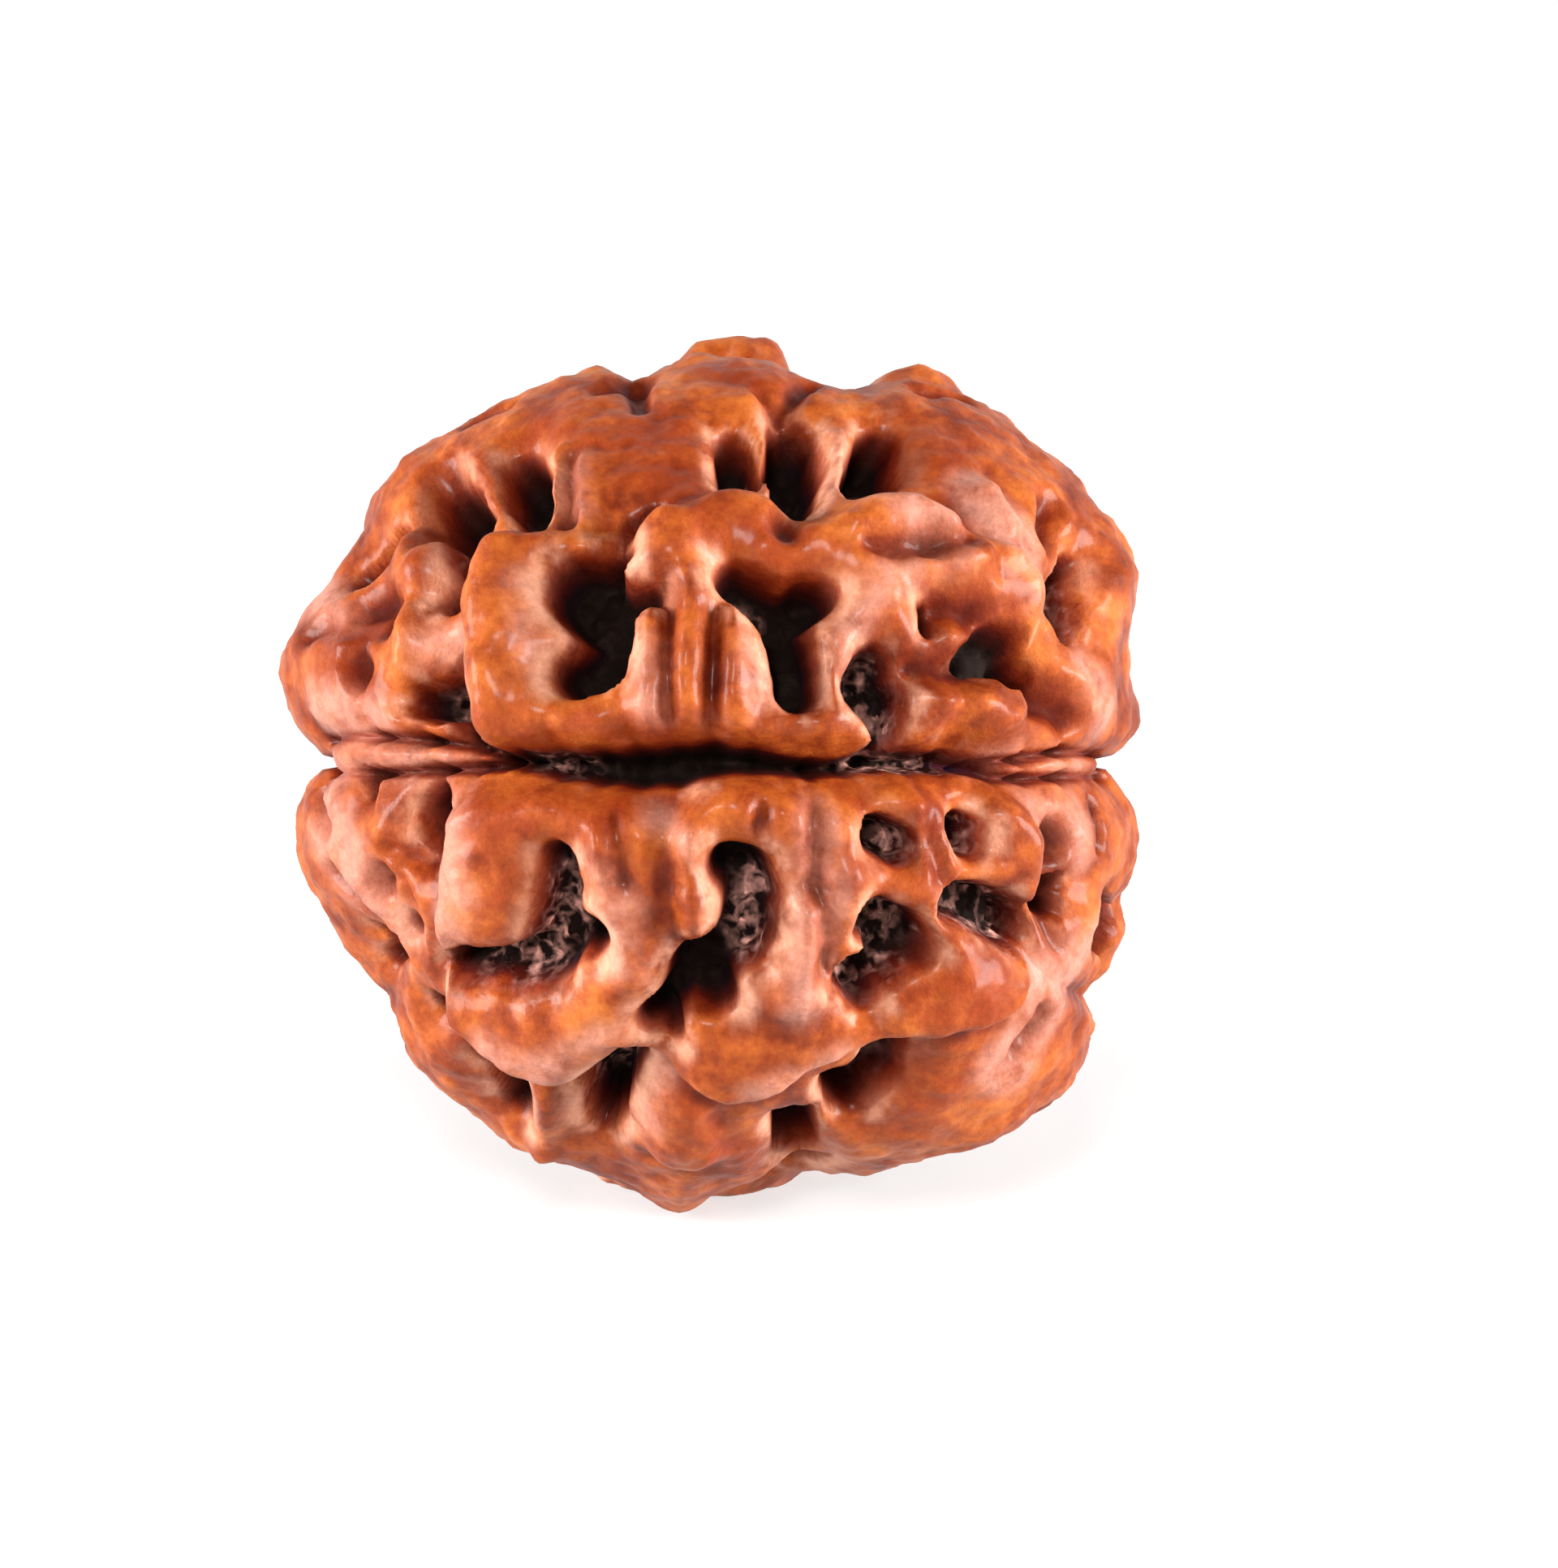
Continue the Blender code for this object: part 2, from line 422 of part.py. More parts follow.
# The worn flat that it rests on
ground = bmesh.new()
below = Matrix.Translation((0, 0, -5 * MM)) @ Matrix.Diagonal((40 * MM, 40 * MM, 10 * MM, 1))
bmesh.ops.create_cube(ground, size=1.0, matrix=below)
cutter("resting_flat", ground)
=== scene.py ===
"""A two-faced rudraksha bead on a pale studio floor, seen as in the photograph."""
import math

import bmesh
import bpy
import numpy as np
from mathutils import Matrix, Vector, noise


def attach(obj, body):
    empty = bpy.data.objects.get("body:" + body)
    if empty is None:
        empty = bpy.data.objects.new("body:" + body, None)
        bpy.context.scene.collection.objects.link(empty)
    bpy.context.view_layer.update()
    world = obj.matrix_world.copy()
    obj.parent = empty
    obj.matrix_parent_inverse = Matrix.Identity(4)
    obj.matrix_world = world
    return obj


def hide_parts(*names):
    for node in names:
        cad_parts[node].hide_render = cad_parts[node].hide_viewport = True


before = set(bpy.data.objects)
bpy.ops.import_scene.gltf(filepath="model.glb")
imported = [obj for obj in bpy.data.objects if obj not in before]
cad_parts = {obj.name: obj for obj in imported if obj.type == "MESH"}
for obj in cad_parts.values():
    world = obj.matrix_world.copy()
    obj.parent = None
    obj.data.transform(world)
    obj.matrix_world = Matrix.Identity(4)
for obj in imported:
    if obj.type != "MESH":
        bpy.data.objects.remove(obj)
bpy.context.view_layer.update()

# Bead
# The stone of a rudraksha fruit, grown in one piece: two halves that meet in a straight cleft,
# each covered with netted ridges and raised fingers between deep dark pits, oiled to a satin
# gloss, and drilled from pole to pole for its cord.

# Sizes in millimetres, in the bead's own frame: X through the poles, the seen face towards -Y.
# MM is a millimetre in metres; CELLS is how often each edge of the starting cube is divided.
MM = 0.001
RIM_RADIUS = 10.6
FACE_RADIUS = 10.2
HOLE_RADIUS = 0.8
CLEFT_PLANE = 0.4
PIT_DEPTH = 2.0
PIT_SPREAD = 1.17
HOLLOW_DEPTH = 0.8
CREASE_DEPTH = 0.4
PLATE_RISE = 0.8
RIDGE_RISE = 0.38
RIM_DROP = 0.6
RIM_ROUND = 0.5
WALL = 0.36
AXIS_ROUND = 0.08
REST_HEIGHT = 10.55
REST_RADIUS = 10.7
ROLL = math.radians(18)
SEED = 27
LUMP_HEIGHT = 0.3
GRAIN_HEIGHT = 0.08
CELLS = 128
MOUTH = 12 / CELLS

# Outline of the photographed face, x and z, clockwise from the left pole
OUTLINE = [
    (-10.5, 0.6), (-10.85, 1.6), (-11.0, 3.0), (-10.6, 4.3), (-10.0, 5.2), (-9.0, 6.3), (-8.6, 7.2),
    (-8.0, 8.1), (-7.0, 8.75), (-5.0, 9.9), (-4.0, 10.3), (-3.0, 10.45), (-2.1, 9.95), (-1.5, 10.3),
    (-0.5, 10.85), (0.5, 11.0), (1.5, 10.8), (2.4, 10.25), (3.2, 9.88), (4.0, 10.05), (5.0, 10.25),
    (6.0, 9.9), (7.0, 9.35), (8.0, 8.5), (9.0, 7.75), (9.8, 6.8), (10.95, 5.3), (10.6, 3.5),
    (10.6, 2.5), (10.9, 1.3), (10.3, 0.1), (10.45, -0.9), (10.6, -2.1), (10.55, -3.2), (10.9, -4.1),
    (10.2, -5.0), (9.1, -5.45), (9.7, -6.2), (9.3, -7.3), (8.6, -8.2), (8.0, -9.0), (7.0, -9.55),
    (5.7, -9.75), (4.0, -9.9), (2.0, -10.25), (0.0, -10.65), (-0.9, -10.95), (-2.0, -10.3),
    (-4.0, -9.7), (-5.2, -9.35), (-6.0, -8.5), (-7.0, -7.9), (-7.7, -7.1), (-8.2, -5.5),
    (-9.4, -4.15), (-10.3, -3.0), (-10.65, -2.0), (-10.6, 0.1),
]

# The cleft across the photographed face: x, z of its middle and half its gape
FRONT_CLEFT = [
    [(-5.6, 0.45, 0.14), (-5.0, 0.45, 0.22), (-4.0, 0.3, 0.33), (-3.0, 0.25, 0.41),
     (-2.0, 0.22, 0.47), (-1.0, 0.3, 0.48), (0.0, 0.48, 0.38), (1.0, 0.42, 0.27),
     (2.5, 0.22, 0.19), (3.5, 0.28, 0.18), (4.2, 0.48, 0.3), (5.0, 0.4, 0.24),
     (6.0, 0.38, 0.24), (7.0, 0.25, 0.18), (7.5, 0.17, 0.12)],
    [(-10.3, 1.0, 0.05), (-9.0, 1.1, 0.08), (-7.6, 1.0, 0.08), (-6.3, 0.8, 0.08), (-5.6, 0.6, 0.1)],
    [(-10.3, 0.1, 0.05), (-9.0, 0.1, 0.09), (-7.4, 0.2, 0.1), (-6.3, 0.25, 0.1),
     (-5.6, 0.35, 0.12)],
    [(7.3, 0.4, 0.08), (8.2, 0.5, 0.08), (9.2, 0.7, 0.08), (10.2, 0.6, 0.05)],
    [(7.3, 0.0, 0.08), (8.2, -0.05, 0.08), (9.2, 0.0, 0.08), (10.2, 0.0, 0.05)],
]

# Deep pits of the photographed face: chains of x, z and radius
FRONT_PITS = [
    [(-7.15, 7.6, 0.44), (-6.85, 7.1, 0.56), (-6.45, 6.5, 0.5), (-6.4, 5.9, 0.38),
     (-6.5, 5.0, 0.34), (-6.9, 4.6, 0.26)],
    [(-5.1, 8.2, 0.42), (-4.9, 7.5, 0.52), (-4.65, 6.75, 0.4)],
    [(-9.35, 5.3, 0.34), (-8.8, 5.75, 0.46), (-8.4, 6.2, 0.38)],
    [(0.45, 8.75, 0.42), (0.6, 7.8, 0.46)],
    [(2.0, 9.05, 0.5), (2.05, 8.1, 0.6), (2.05, 7.3, 0.4), (2.05, 6.9, 0.2)],
    [(4.3, 8.95, 0.42), (4.1, 8.0, 0.54), (3.85, 7.5, 0.42), (4.3, 7.5, 0.3)],
    [(9.45, 5.7, 0.22), (9.4, 5.0, 0.36), (9.3, 4.4, 0.4), (9.25, 3.9, 0.26)],
    [(-7.7, 1.95, 0.3), (-7.2, 2.0, 0.42), (-6.7, 2.2, 0.48), (-6.5, 2.9, 0.3)],
    [(-6.6, 2.1, 0.38), (-6.4, 1.6, 0.34), (-6.6, 1.2, 0.2)],
    [(-3.2, 4.6, 0.8), (-2.9, 4.2, 0.72), (-2.6, 3.5, 0.48), (-2.9, 2.8, 0.58), (-3.4, 2.5, 0.48)],
    [(-2.8, 4.3, 0.42), (-2.0, 4.3, 0.3), (-1.6, 4.4, 0.2)],
    [(-3.1, 4.9, 0.4), (-2.3, 5.4, 0.22)],
    [(0.5, 4.8, 0.42), (0.95, 4.5, 0.5), (1.6, 4.15, 0.54), (2.2, 4.4, 0.48), (2.55, 4.45, 0.36)],
    [(1.6, 4.0, 0.46), (1.8, 3.4, 0.44), (1.95, 2.7, 0.42), (2.0, 2.1, 0.44)],
    [(3.9, 2.7, 0.46), (3.8, 2.2, 0.54), (4.1, 2.0, 0.5), (4.2, 1.5, 0.36), (4.3, 1.0, 0.2)],
    [(5.1, 4.1, 0.1), (5.2, 3.65, 0.16)],
    [(6.4, 3.0, 0.3), (7.0, 3.15, 0.52), (7.4, 2.95, 0.56), (7.9, 2.7, 0.4), (8.4, 2.4, 0.2)],
    [(-7.3, -0.5, 0.32), (-7.4, -1.0, 0.42), (-7.4, -1.5, 0.4), (-7.3, -1.9, 0.26)],
    [(-9.3, 0.05, 0.12), (-9.1, -0.3, 0.2)],
    [(-7.9, -3.75, 0.16), (-7.9, -3.9, 0.16)],
    [(-8.9, -4.0, 0.2), (-8.4, -4.4, 0.28), (-8.6, -4.8, 0.2)],
    [(-3.85, -2.0, 0.36), (-3.8, -2.6, 0.42), (-3.85, -3.2, 0.46), (-3.9, -3.9, 0.58),
     (-4.1, -4.4, 0.6)],
    [(-4.3, -4.6, 0.5), (-5.2, -4.7, 0.44), (-6.0, -4.65, 0.42), (-6.6, -4.7, 0.34)],
    [(-3.9, -3.9, 0.44), (-3.2, -3.9, 0.44), (-3.0, -3.8, 0.36)],
    [(-4.3, -4.8, 0.36), (-5.0, -5.0, 0.3)],
    [(-7.2, -6.0, 0.34), (-6.6, -6.4, 0.32)],
    [(-6.0, -7.3, 0.42), (-5.5, -7.8, 0.54), (-5.3, -8.6, 0.48)],
    [(0.35, -2.1, 0.42), (0.7, -2.3, 0.5), (0.9, -2.9, 0.5), (0.8, -3.6, 0.5), (0.6, -4.1, 0.5),
     (-0.1, -4.5, 0.6), (-0.3, -4.9, 0.66), (-0.1, -5.3, 0.52)],
    [(-0.6, -5.2, 0.44), (-1.2, -5.7, 0.34), (-1.5, -5.9, 0.28), (-1.1, -6.2, 0.24)],
    [(-2.1, -7.1, 0.24), (-2.6, -7.6, 0.44), (-2.9, -8.2, 0.5), (-2.9, -8.8, 0.4),
     (-3.0, -9.2, 0.24)],
    [(-3.0, -8.0, 0.3), (-3.6, -7.9, 0.14)],
    [(4.0, -1.4, 0.42), (4.45, -1.65, 0.42)],
    [(6.2, -1.35, 0.38), (6.25, -1.65, 0.28)],
    [(5.9, -3.1, 0.42), (6.3, -3.15, 0.42), (6.9, -3.4, 0.48), (7.5, -3.75, 0.48),
     (7.9, -4.0, 0.36)],
    [(8.9, -2.8, 0.26), (8.6, -3.1, 0.3), (8.9, -3.5, 0.2)],
    [(3.9, -3.5, 0.5), (4.6, -3.9, 0.5), (4.9, -4.2, 0.44), (4.2, -4.6, 0.46), (3.5, -4.9, 0.46),
     (3.6, -5.3, 0.34)],
    [(4.5, -7.1, 0.46), (4.2, -7.8, 0.58), (3.6, -8.5, 0.48), (3.2, -8.0, 0.36)],
    [(2.05, -8.9, 0.44), (2.1, -9.8, 0.48)],
]

# Shallow hollows of the photographed face
FRONT_HOLLOWS = [
    [(-7.1, 7.8, 0.35), (-7.3, 7.1, 0.5), (-7.4, 6.3, 0.3)],
    [(-9.2, 4.3, 0.3), (-8.7, 4.5, 0.4), (-8.3, 4.2, 0.25)],
    [(-9.2, 3.1, 0.2), (-9.1, 2.7, 0.28)],
    [(5.6, 4.1, 0.2), (6.2, 3.95, 0.3)],
    [(4.9, 2.75, 0.24), (5.5, 2.65, 0.3), (6.3, 2.65, 0.28)],
    [(1.7, 5.9, 0.16), (1.7, 6.1, 0.18)],
    [(8.7, 5.1, 0.15), (8.75, 4.3, 0.15)],
    [(8.5, 6.9, 0.15), (8.5, 6.2, 0.17)],
    [(8.2, 2.2, 0.42), (9.1, 1.7, 0.36)],
    [(-8.5, -2.5, 0.22), (-8.5, -2.7, 0.22)],
    [(8.6, -1.6, 0.36), (8.6, -1.9, 0.36)],
    [(6.1, -9.6, 0.3), (7.4, -9.3, 0.45), (8.1, -8.8, 0.3)],
    [(-1.2, 4.35, 0.12), (-1.1, 4.35, 0.12)],
]

# Fine creases of the photographed face
FRONT_CREASES = [
    [(-6.2, 9.05, 0.15), (-5.3, 9.4, 0.15)],
    [(-2.9, 9.8, 0.2), (-2.0, 9.85, 0.25), (-1.9, 9.3, 0.1)],
    [(5.2, 9.8, 0.15), (6.2, 9.6, 0.15)],
    [(1.2, 9.8, 0.15), (1.6, 9.5, 0.2), (2.4, 9.95, 0.15)],
    [(3.6, 5.5, 0.12), (4.2, 5.35, 0.16), (5.0, 5.45, 0.2), (5.9, 5.6, 0.12)],
    [(-9.5, 3.7, 0.1), (-8.9, 3.65, 0.12), (-8.4, 3.8, 0.12), (-8.15, 4.1, 0.1)],
    [(-10.4, 3.6, 0.15), (-10.1, 3.9, 0.15), (-9.8, 3.8, 0.15)],
    [(-10.3, -0.5, 0.1), (-9.9, -1.3, 0.1)],
    [(-8.3, -1.8, 0.12), (-7.9, -2.1, 0.12), (-7.4, -2.3, 0.12)],
    [(-8.0, -2.6, 0.1), (-7.75, -3.1, 0.1)],
    [(-9.7, -2.4, 0.12), (-9.2, -3.0, 0.12), (-8.7, -3.6, 0.12)],
    [(1.15, -0.75, 0.1), (1.0, -1.2, 0.1)],
    [(8.6, -3.6, 0.12), (8.75, -4.3, 0.12)],
    [(9.7, -0.7, 0.1), (9.7, -1.7, 0.1)],
    [(10.1, -3.6, 0.1), (10.1, -4.4, 0.1)],
    [(8.2, -5.9, 0.1), (8.0, -6.5, 0.1), (7.6, -6.9, 0.1)],
    [(-1.1, 1.4, 0.1), (-1.05, 3.9, 0.12)],
    [(-0.1, 1.3, 0.1), (0.0, 3.9, 0.12)],
    [(-3.65, 6.3, 0.1), (-3.7, 8.1, 0.1)],
    [(-2.6, 5.5, 0.2), (-1.9, 6.2, 0.18), (-1.5, 6.6, 0.12)],
    [(-2.4, -0.9, 0.1), (-2.2, -2.4, 0.12)],
    [(2.3, -0.8, 0.12), (2.4, -2.6, 0.12), (2.6, -4.6, 0.12)],
    [(5.2, -0.9, 0.15), (5.4, -2.4, 0.12)],
]

# Raised plates beside the cleft: fingers that end in the scalloped edge
FRONT_PLATES = [
    [(-4.95, 1.8, 1.15), (-4.8, 4.6, 1.45)],
    [(-3.0, 1.8, 1.0), (-3.3, 4.4, 1.5)],
    [(-1.2, 2.0, 1.0), (-1.2, 5.5, 0.9)],
    [(0.7, 2.0, 1.2), (0.6, 5.9, 1.25)],
    [(2.6, 2.0, 1.0), (2.7, 4.9, 1.2)],
    [(4.6, 2.0, 1.2), (4.3, 5.3, 1.65)],
    [(6.8, 2.0, 1.0), (6.9, 4.4, 1.3)],
    [(-5.6, -1.6, 1.1), (-5.6, -5.4, 1.45)],
    [(-4.0, -1.6, 1.2), (-4.2, -6.3, 1.5)],
    [(-2.4, -1.6, 1.0), (-2.3, -5.5, 1.2)],
    [(0.6, -1.6, 1.5), (0.6, -6.6, 1.55)],
    [(2.4, -1.6, 1.0), (2.6, -5.6, 1.4)],
    [(4.6, -1.6, 1.2), (5.0, -5.0, 1.5)],
    [(7.0, -1.6, 1.0), (6.7, -4.6, 1.35)],
]

# Narrow raised ridges and knobs of the photographed face
FRONT_RIDGES = [
    [(-5.35, 1.2, 0.4), (-5.4, 3.4, 0.45), (-5.2, 5.4, 0.4)],
    [(3.05, 6.9, 0.16), (3.1, 8.7, 0.2)],
    [(3.4, 5.9, 0.25), (4.0, 6.4, 0.35), (4.8, 6.6, 0.38), (5.4, 6.2, 0.3), (5.6, 5.9, 0.2)],
    [(-7.2, 5.7, 0.6), (-7.5, 5.2, 0.4)],
    [(-4.05, 6.4, 0.2), (-4.0, 8.1, 0.22)],
    [(-3.3, 6.3, 0.2), (-3.3, 7.9, 0.2)],
    [(-1.5, 1.4, 0.25), (-1.55, 3.8, 0.28)],
    [(-0.65, 1.4, 0.3), (-0.6, 4.6, 0.35)],
    [(0.45, 1.4, 0.25), (0.4, 3.8, 0.25)],
    [(-1.3, 5.3, 0.6), (-1.2, 5.7, 0.7)],
    [(6.7, 7.0, 0.4), (7.2, 6.3, 0.35)],
    [(-8.2, 1.35, 0.14), (-6.9, 1.5, 0.2)],
    [(-4.3, -8.1, 0.25), (-4.3, -9.4, 0.3)],
    [(-0.9, -8.4, 0.6), (-0.8, -9.3, 0.8)],
    [(8.7, -2.25, 0.2), (8.9, -2.35, 0.2)],
    [(3.2, -1.2, 0.3), (3.3, -3.4, 0.3)],
    [(-2.6, -1.4, 0.3), (-2.4, -3.2, 0.25), (-2.0, -4.6, 0.3)],
    [(-0.6, -1.4, 0.3), (-0.4, -3.6, 0.3)],
    [(2.2, -3.2, 0.25), (1.9, -5.2, 0.3)],
    [(-7.9, 2.7, 0.25), (-7.6, 4.1, 0.3)],
    [(5.0, 4.9, 0.18), (6.2, 5.1, 0.2)],
]

# Where dried pulp has stayed on the floors of the pits
RESIDUE_SPOTS = [
    [(-6.5, 6.8, 0.5), (-6.4, 5.2, 0.4)],
    [(-4.9, 7.6, 0.3), (-4.6, 6.6, 0.3)],
    [(0.4, 8.2, 0.5), (0.5, 7.5, 0.4)],
    [(3.8, 8.2, 0.5), (3.9, 7.3, 0.5)],
    [(9.4, 5.2, 0.5), (9.4, 4.2, 0.5)],
    [(-7.3, 2.0, 0.4), (-6.3, 2.1, 0.5)],
    [(3.9, 2.4, 0.7), (4.2, 1.4, 0.5)],
    [(0.3, 4.4, 0.4), (0.8, 4.4, 0.3)],
    [(-5.9, -4.6, 0.6), (-4.9, -4.7, 0.6), (-4.2, -4.0, 0.5), (-3.9, -2.6, 0.3)],
    [(4.4, -1.3, 0.5), (4.6, -1.7, 0.4)],
    [(6.3, -1.4, 0.5), (6.4, -1.7, 0.4)],
    [(6.2, -2.9, 0.7), (7.6, -4.2, 0.8)],
    [(4.1, -3.3, 0.5), (4.9, -3.8, 0.4)],
    [(3.5, -5.0, 0.6), (4.2, -4.6, 0.6)],
    [(-2.8, -7.8, 0.5), (-3.0, -8.6, 0.4)],
    [(-5.6, -7.6, 0.5), (-5.0, -8.0, 0.4)],
    [(3.6, -8.2, 0.6), (4.3, -7.6, 0.5)],
    [(1.0, -2.8, 0.4), (0.8, -4.2, 0.5)],
    [(-4.6, 0.4, 0.3), (-3.8, 0.4, 0.3)],
    [(4.0, 0.4, 0.4), (6.0, 0.3, 0.4)],
]

# Flanks and crests painted pale pink: partly dried skin, partly painted glare and highlights
PALE_SKIN_AND_GLARE_SPOTS = [
    [(-10.2, 4.6, 0.5), (-9.6, 3.9, 0.3)],
    [(-8.6, 1.4, 0.5), (-9.6, 1.5, 0.6), (-10.2, 1.8, 0.5)],
    [(-10.0, -1.0, 0.9), (-9.2, -2.4, 1.1), (-8.2, -3.6, 0.8)],
    [(-6.4, -0.8, 0.5), (-6.3, -2.6, 0.65), (-6.5, -3.6, 0.6)],
    [(-7.3, 3.4, 0.3), (-6.6, 3.6, 0.4)],
    [(-3.6, 7.9, 0.2), (-3.4, 6.6, 0.25)],
    [(-2.9, -2.0, 0.25), (-2.3, -3.0, 0.4), (-2.3, -4.2, 0.35)],
    [(-1.5, -0.9, 0.2), (-0.6, -1.6, 0.2)],
    [(-4.4, 3.0, 0.1), (-4.5, 4.6, 0.2)],
    [(-1.6, 3.0, 0.2), (-1.5, 1.6, 0.25)],
    [(0.9, 3.0, 0.25), (1.1, 2.0, 0.25)],
    [(2.4, -1.0, 0.4), (2.4, -3.0, 0.5), (2.0, -5.4, 0.35)],
    [(3.2, 8.6, 0.15), (3.1, 7.4, 0.2)],
    [(4.0, 6.6, 0.35), (4.7, 6.3, 0.45), (5.4, 6.0, 0.3)],
    [(-10.0, 0.3, 0.25), (-8.0, 0.3, 0.25), (-6.6, 0.4, 0.2)],
    [(6.6, 0.4, 0.2), (8.0, 0.4, 0.25), (9.6, 0.3, 0.25)],
    [(3.2, 2.6, 0.15), (3.2, 3.6, 0.2), (4.2, 4.8, 0.3), (5.6, 5.0, 0.2)],
    [(6.4, 7.2, 0.5), (7.4, 6.0, 0.8), (8.0, 4.8, 0.6)],
    [(9.4, 2.8, 0.4), (9.9, 1.6, 0.5)],
    [(7.9, -2.2, 0.2), (8.0, -0.9, 0.25), (9.2, -0.9, 0.25), (9.3, -2.2, 0.2)],
    [(9.6, -4.2, 0.5), (8.2, -5.6, 0.9), (7.4, -7.2, 0.9)],
    [(-5.4, -6.3, 0.3), (-4.2, -6.9, 0.3), (-2.6, -6.0, 0.25)],
    [(-1.9, -8.6, 0.4), (-1.4, -7.4, 0.3)],
    [(1.0, -7.3, 0.3), (3.0, -6.6, 0.3)],
]

# Spots where the colour is darker and a deeper red-brown
DEEP_TONE_SPOTS = [
    [(-4.6, 9.0, 0.6), (-1.8, 8.4, 1.2), (-1.0, 7.2, 0.7)],
    [(-1.0, 10.2, 0.4), (0.6, 10.1, 0.5), (2.0, 10.0, 0.4)],
    [(4.8, 9.0, 0.4), (6.0, 8.4, 0.3), (6.0, 7.4, 0.3)],
    [(-9.3, 3.0, 0.6), (-9.0, 2.3, 0.5)],
    [(-7.6, 6.6, 0.4), (-7.4, 5.6, 0.4)],
    [(-6.9, -0.3, 0.2), (-5.0, -1.0, 0.45), (-2.6, -0.8, 0.3), (-0.6, -0.8, 0.3)],
    [(-4.9, -2.2, 0.4), (-5.2, -3.4, 0.3)],
    [(3.4, -0.7, 0.3), (5.4, -0.8, 0.3)],
    [(5.2, -2.4, 0.3), (3.0, -2.0, 0.2)],
    [(5.6, -5.1, 0.5), (6.6, -4.8, 0.4)],
    [(5.5, 3.9, 0.3), (6.3, 3.9, 0.5), (7.2, 3.9, 0.3)],
    [(7.6, 2.5, 0.3), (8.4, 2.0, 0.4), (9.0, 1.6, 0.3)],
    [(-8.0, 8.0, 0.3), (-7.2, 7.4, 0.3)],
    [(5.4, -5.3, 0.5), (6.4, -5.2, 0.5)],
    [(-9.8, 3.4, 0.3), (-9.7, 2.6, 0.3)],
    [(-0.2, 5.9, 0.4), (1.6, 5.5, 0.5), (3.0, 5.2, 0.3)],
    [(-7.3, -5.6, 0.4), (-6.4, -7.0, 0.4)],
    [(-0.4, -8.0, 0.5), (0.0, -9.4, 0.6), (1.2, -9.8, 0.4)],
    [(5.3, -6.9, 0.3), (5.3, -7.9, 0.5), (5.2, -8.9, 0.5), (4.2, -9.2, 0.3)],
    [(4.9, 8.7, 0.35), (5.0, 7.3, 0.35)],
    [(-5.7, 8.0, 0.25), (-5.6, 7.1, 0.25)],
    [(2.9, -9.2, 0.3), (2.8, -9.9, 0.3)],
    [(-5.6, 1.2, 0.4), (-3.0, 1.1, 0.3), (0.0, 1.1, 0.3)],
]


def smooth_step(value):
    value = np.clip(value, 0.0, 1.0)
    return value * value * (3.0 - 2.0 * value)


# Outline radius as a function of the angle round Y, and the same with its lobes smoothed away
TURN = np.radians(np.arange(0, 360, 1.0))
outline = np.array(OUTLINE)
outline_angle = np.arctan2(outline[:, 1], outline[:, 0]) % (2 * math.pi)
order = np.argsort(outline_angle)
outline_reach = np.hypot(outline[:, 0], outline[:, 1])
LOBED = np.interp(TURN, outline_angle[order], outline_reach[order], period=2 * math.pi)
degrees_off = np.minimum(np.arange(360), 360 - np.arange(360))
LOBE_BLUR = 20.0
blur = np.exp(-((degrees_off / LOBE_BLUR) ** 2))
ROUND = np.real(np.fft.ifft(np.fft.fft(LOBED) * np.fft.fft(blur / blur.sum())))


def envelope(points):
    """Radius of the ridge tops in each direction: lobes fade away from the rim, front and back."""
    angle = np.arctan2(points[:, 2], points[:, 0]) % (2 * math.pi)
    tilt = np.degrees(np.arcsin(np.clip(np.abs(points[:, 1]), 0, 1)))
    lobed = np.interp(angle, TURN, LOBED, period=2 * math.pi)
    rounded = np.interp(angle, TURN, ROUND, period=2 * math.pi)
    return (
        FACE_RADIUS
        + (rounded - FACE_RADIUS) * np.exp(-((tilt / 50.0) ** 2))
        + (lobed - rounded) * np.exp(-((tilt / 20.0) ** 2))
    )


def on_face(x, z, side):
    """Direction whose surface point is seen at x, z, looking squarely at the face on that side."""
    across = math.hypot(x, z)
    turn = math.atan2(z, x)
    radius = RIM_RADIUS
    for _ in range(4):
        sine = min(across / radius, 0.996)
        depth = side * math.sqrt(1 - sine * sine)
        direction = np.array([[sine * math.cos(turn), depth, sine * math.sin(turn)]])
        radius = float(envelope(direction)[0])
    return direction[0]


def chains_on(chains, side):
    """Each chain as a list of positions on the rim sphere with their radii."""
    return [[(on_face(x, z, side) * RIM_RADIUS, r) for x, z, r in chain] for chain in chains]


def distance_to(points, chains, blend):
    """Smooth distance from each point of the rim sphere to the nearest chain, negative inside."""
    total = np.zeros(len(points))
    for chain in chains:
        for (start, start_radius), (end, end_radius) in zip(chain, chain[1:]):
            along = end - start
            middle = (start + end) / 2
            reach = float(np.linalg.norm(along)) / 2 + max(start_radius, end_radius)
            reach += max(16 * blend, 4.0)
            nearest = (RIM_RADIUS ** 2 + float(middle @ middle) - reach ** 2) / 2
            close = np.flatnonzero(points @ middle > nearest)
            offset = points[close] - start
            part = np.clip(offset @ along / max(float(along @ along), 1e-9), 0, 1)
            away = offset - part[:, None] * along
            gap = np.sqrt((away ** 2).sum(axis=1) + AXIS_ROUND ** 2) - AXIS_ROUND
            widening = part * (end_radius - start_radius)
            total[close] += np.exp(-(gap - start_radius - widening) / blend)
    return -blend * np.log(total + 1e-60)


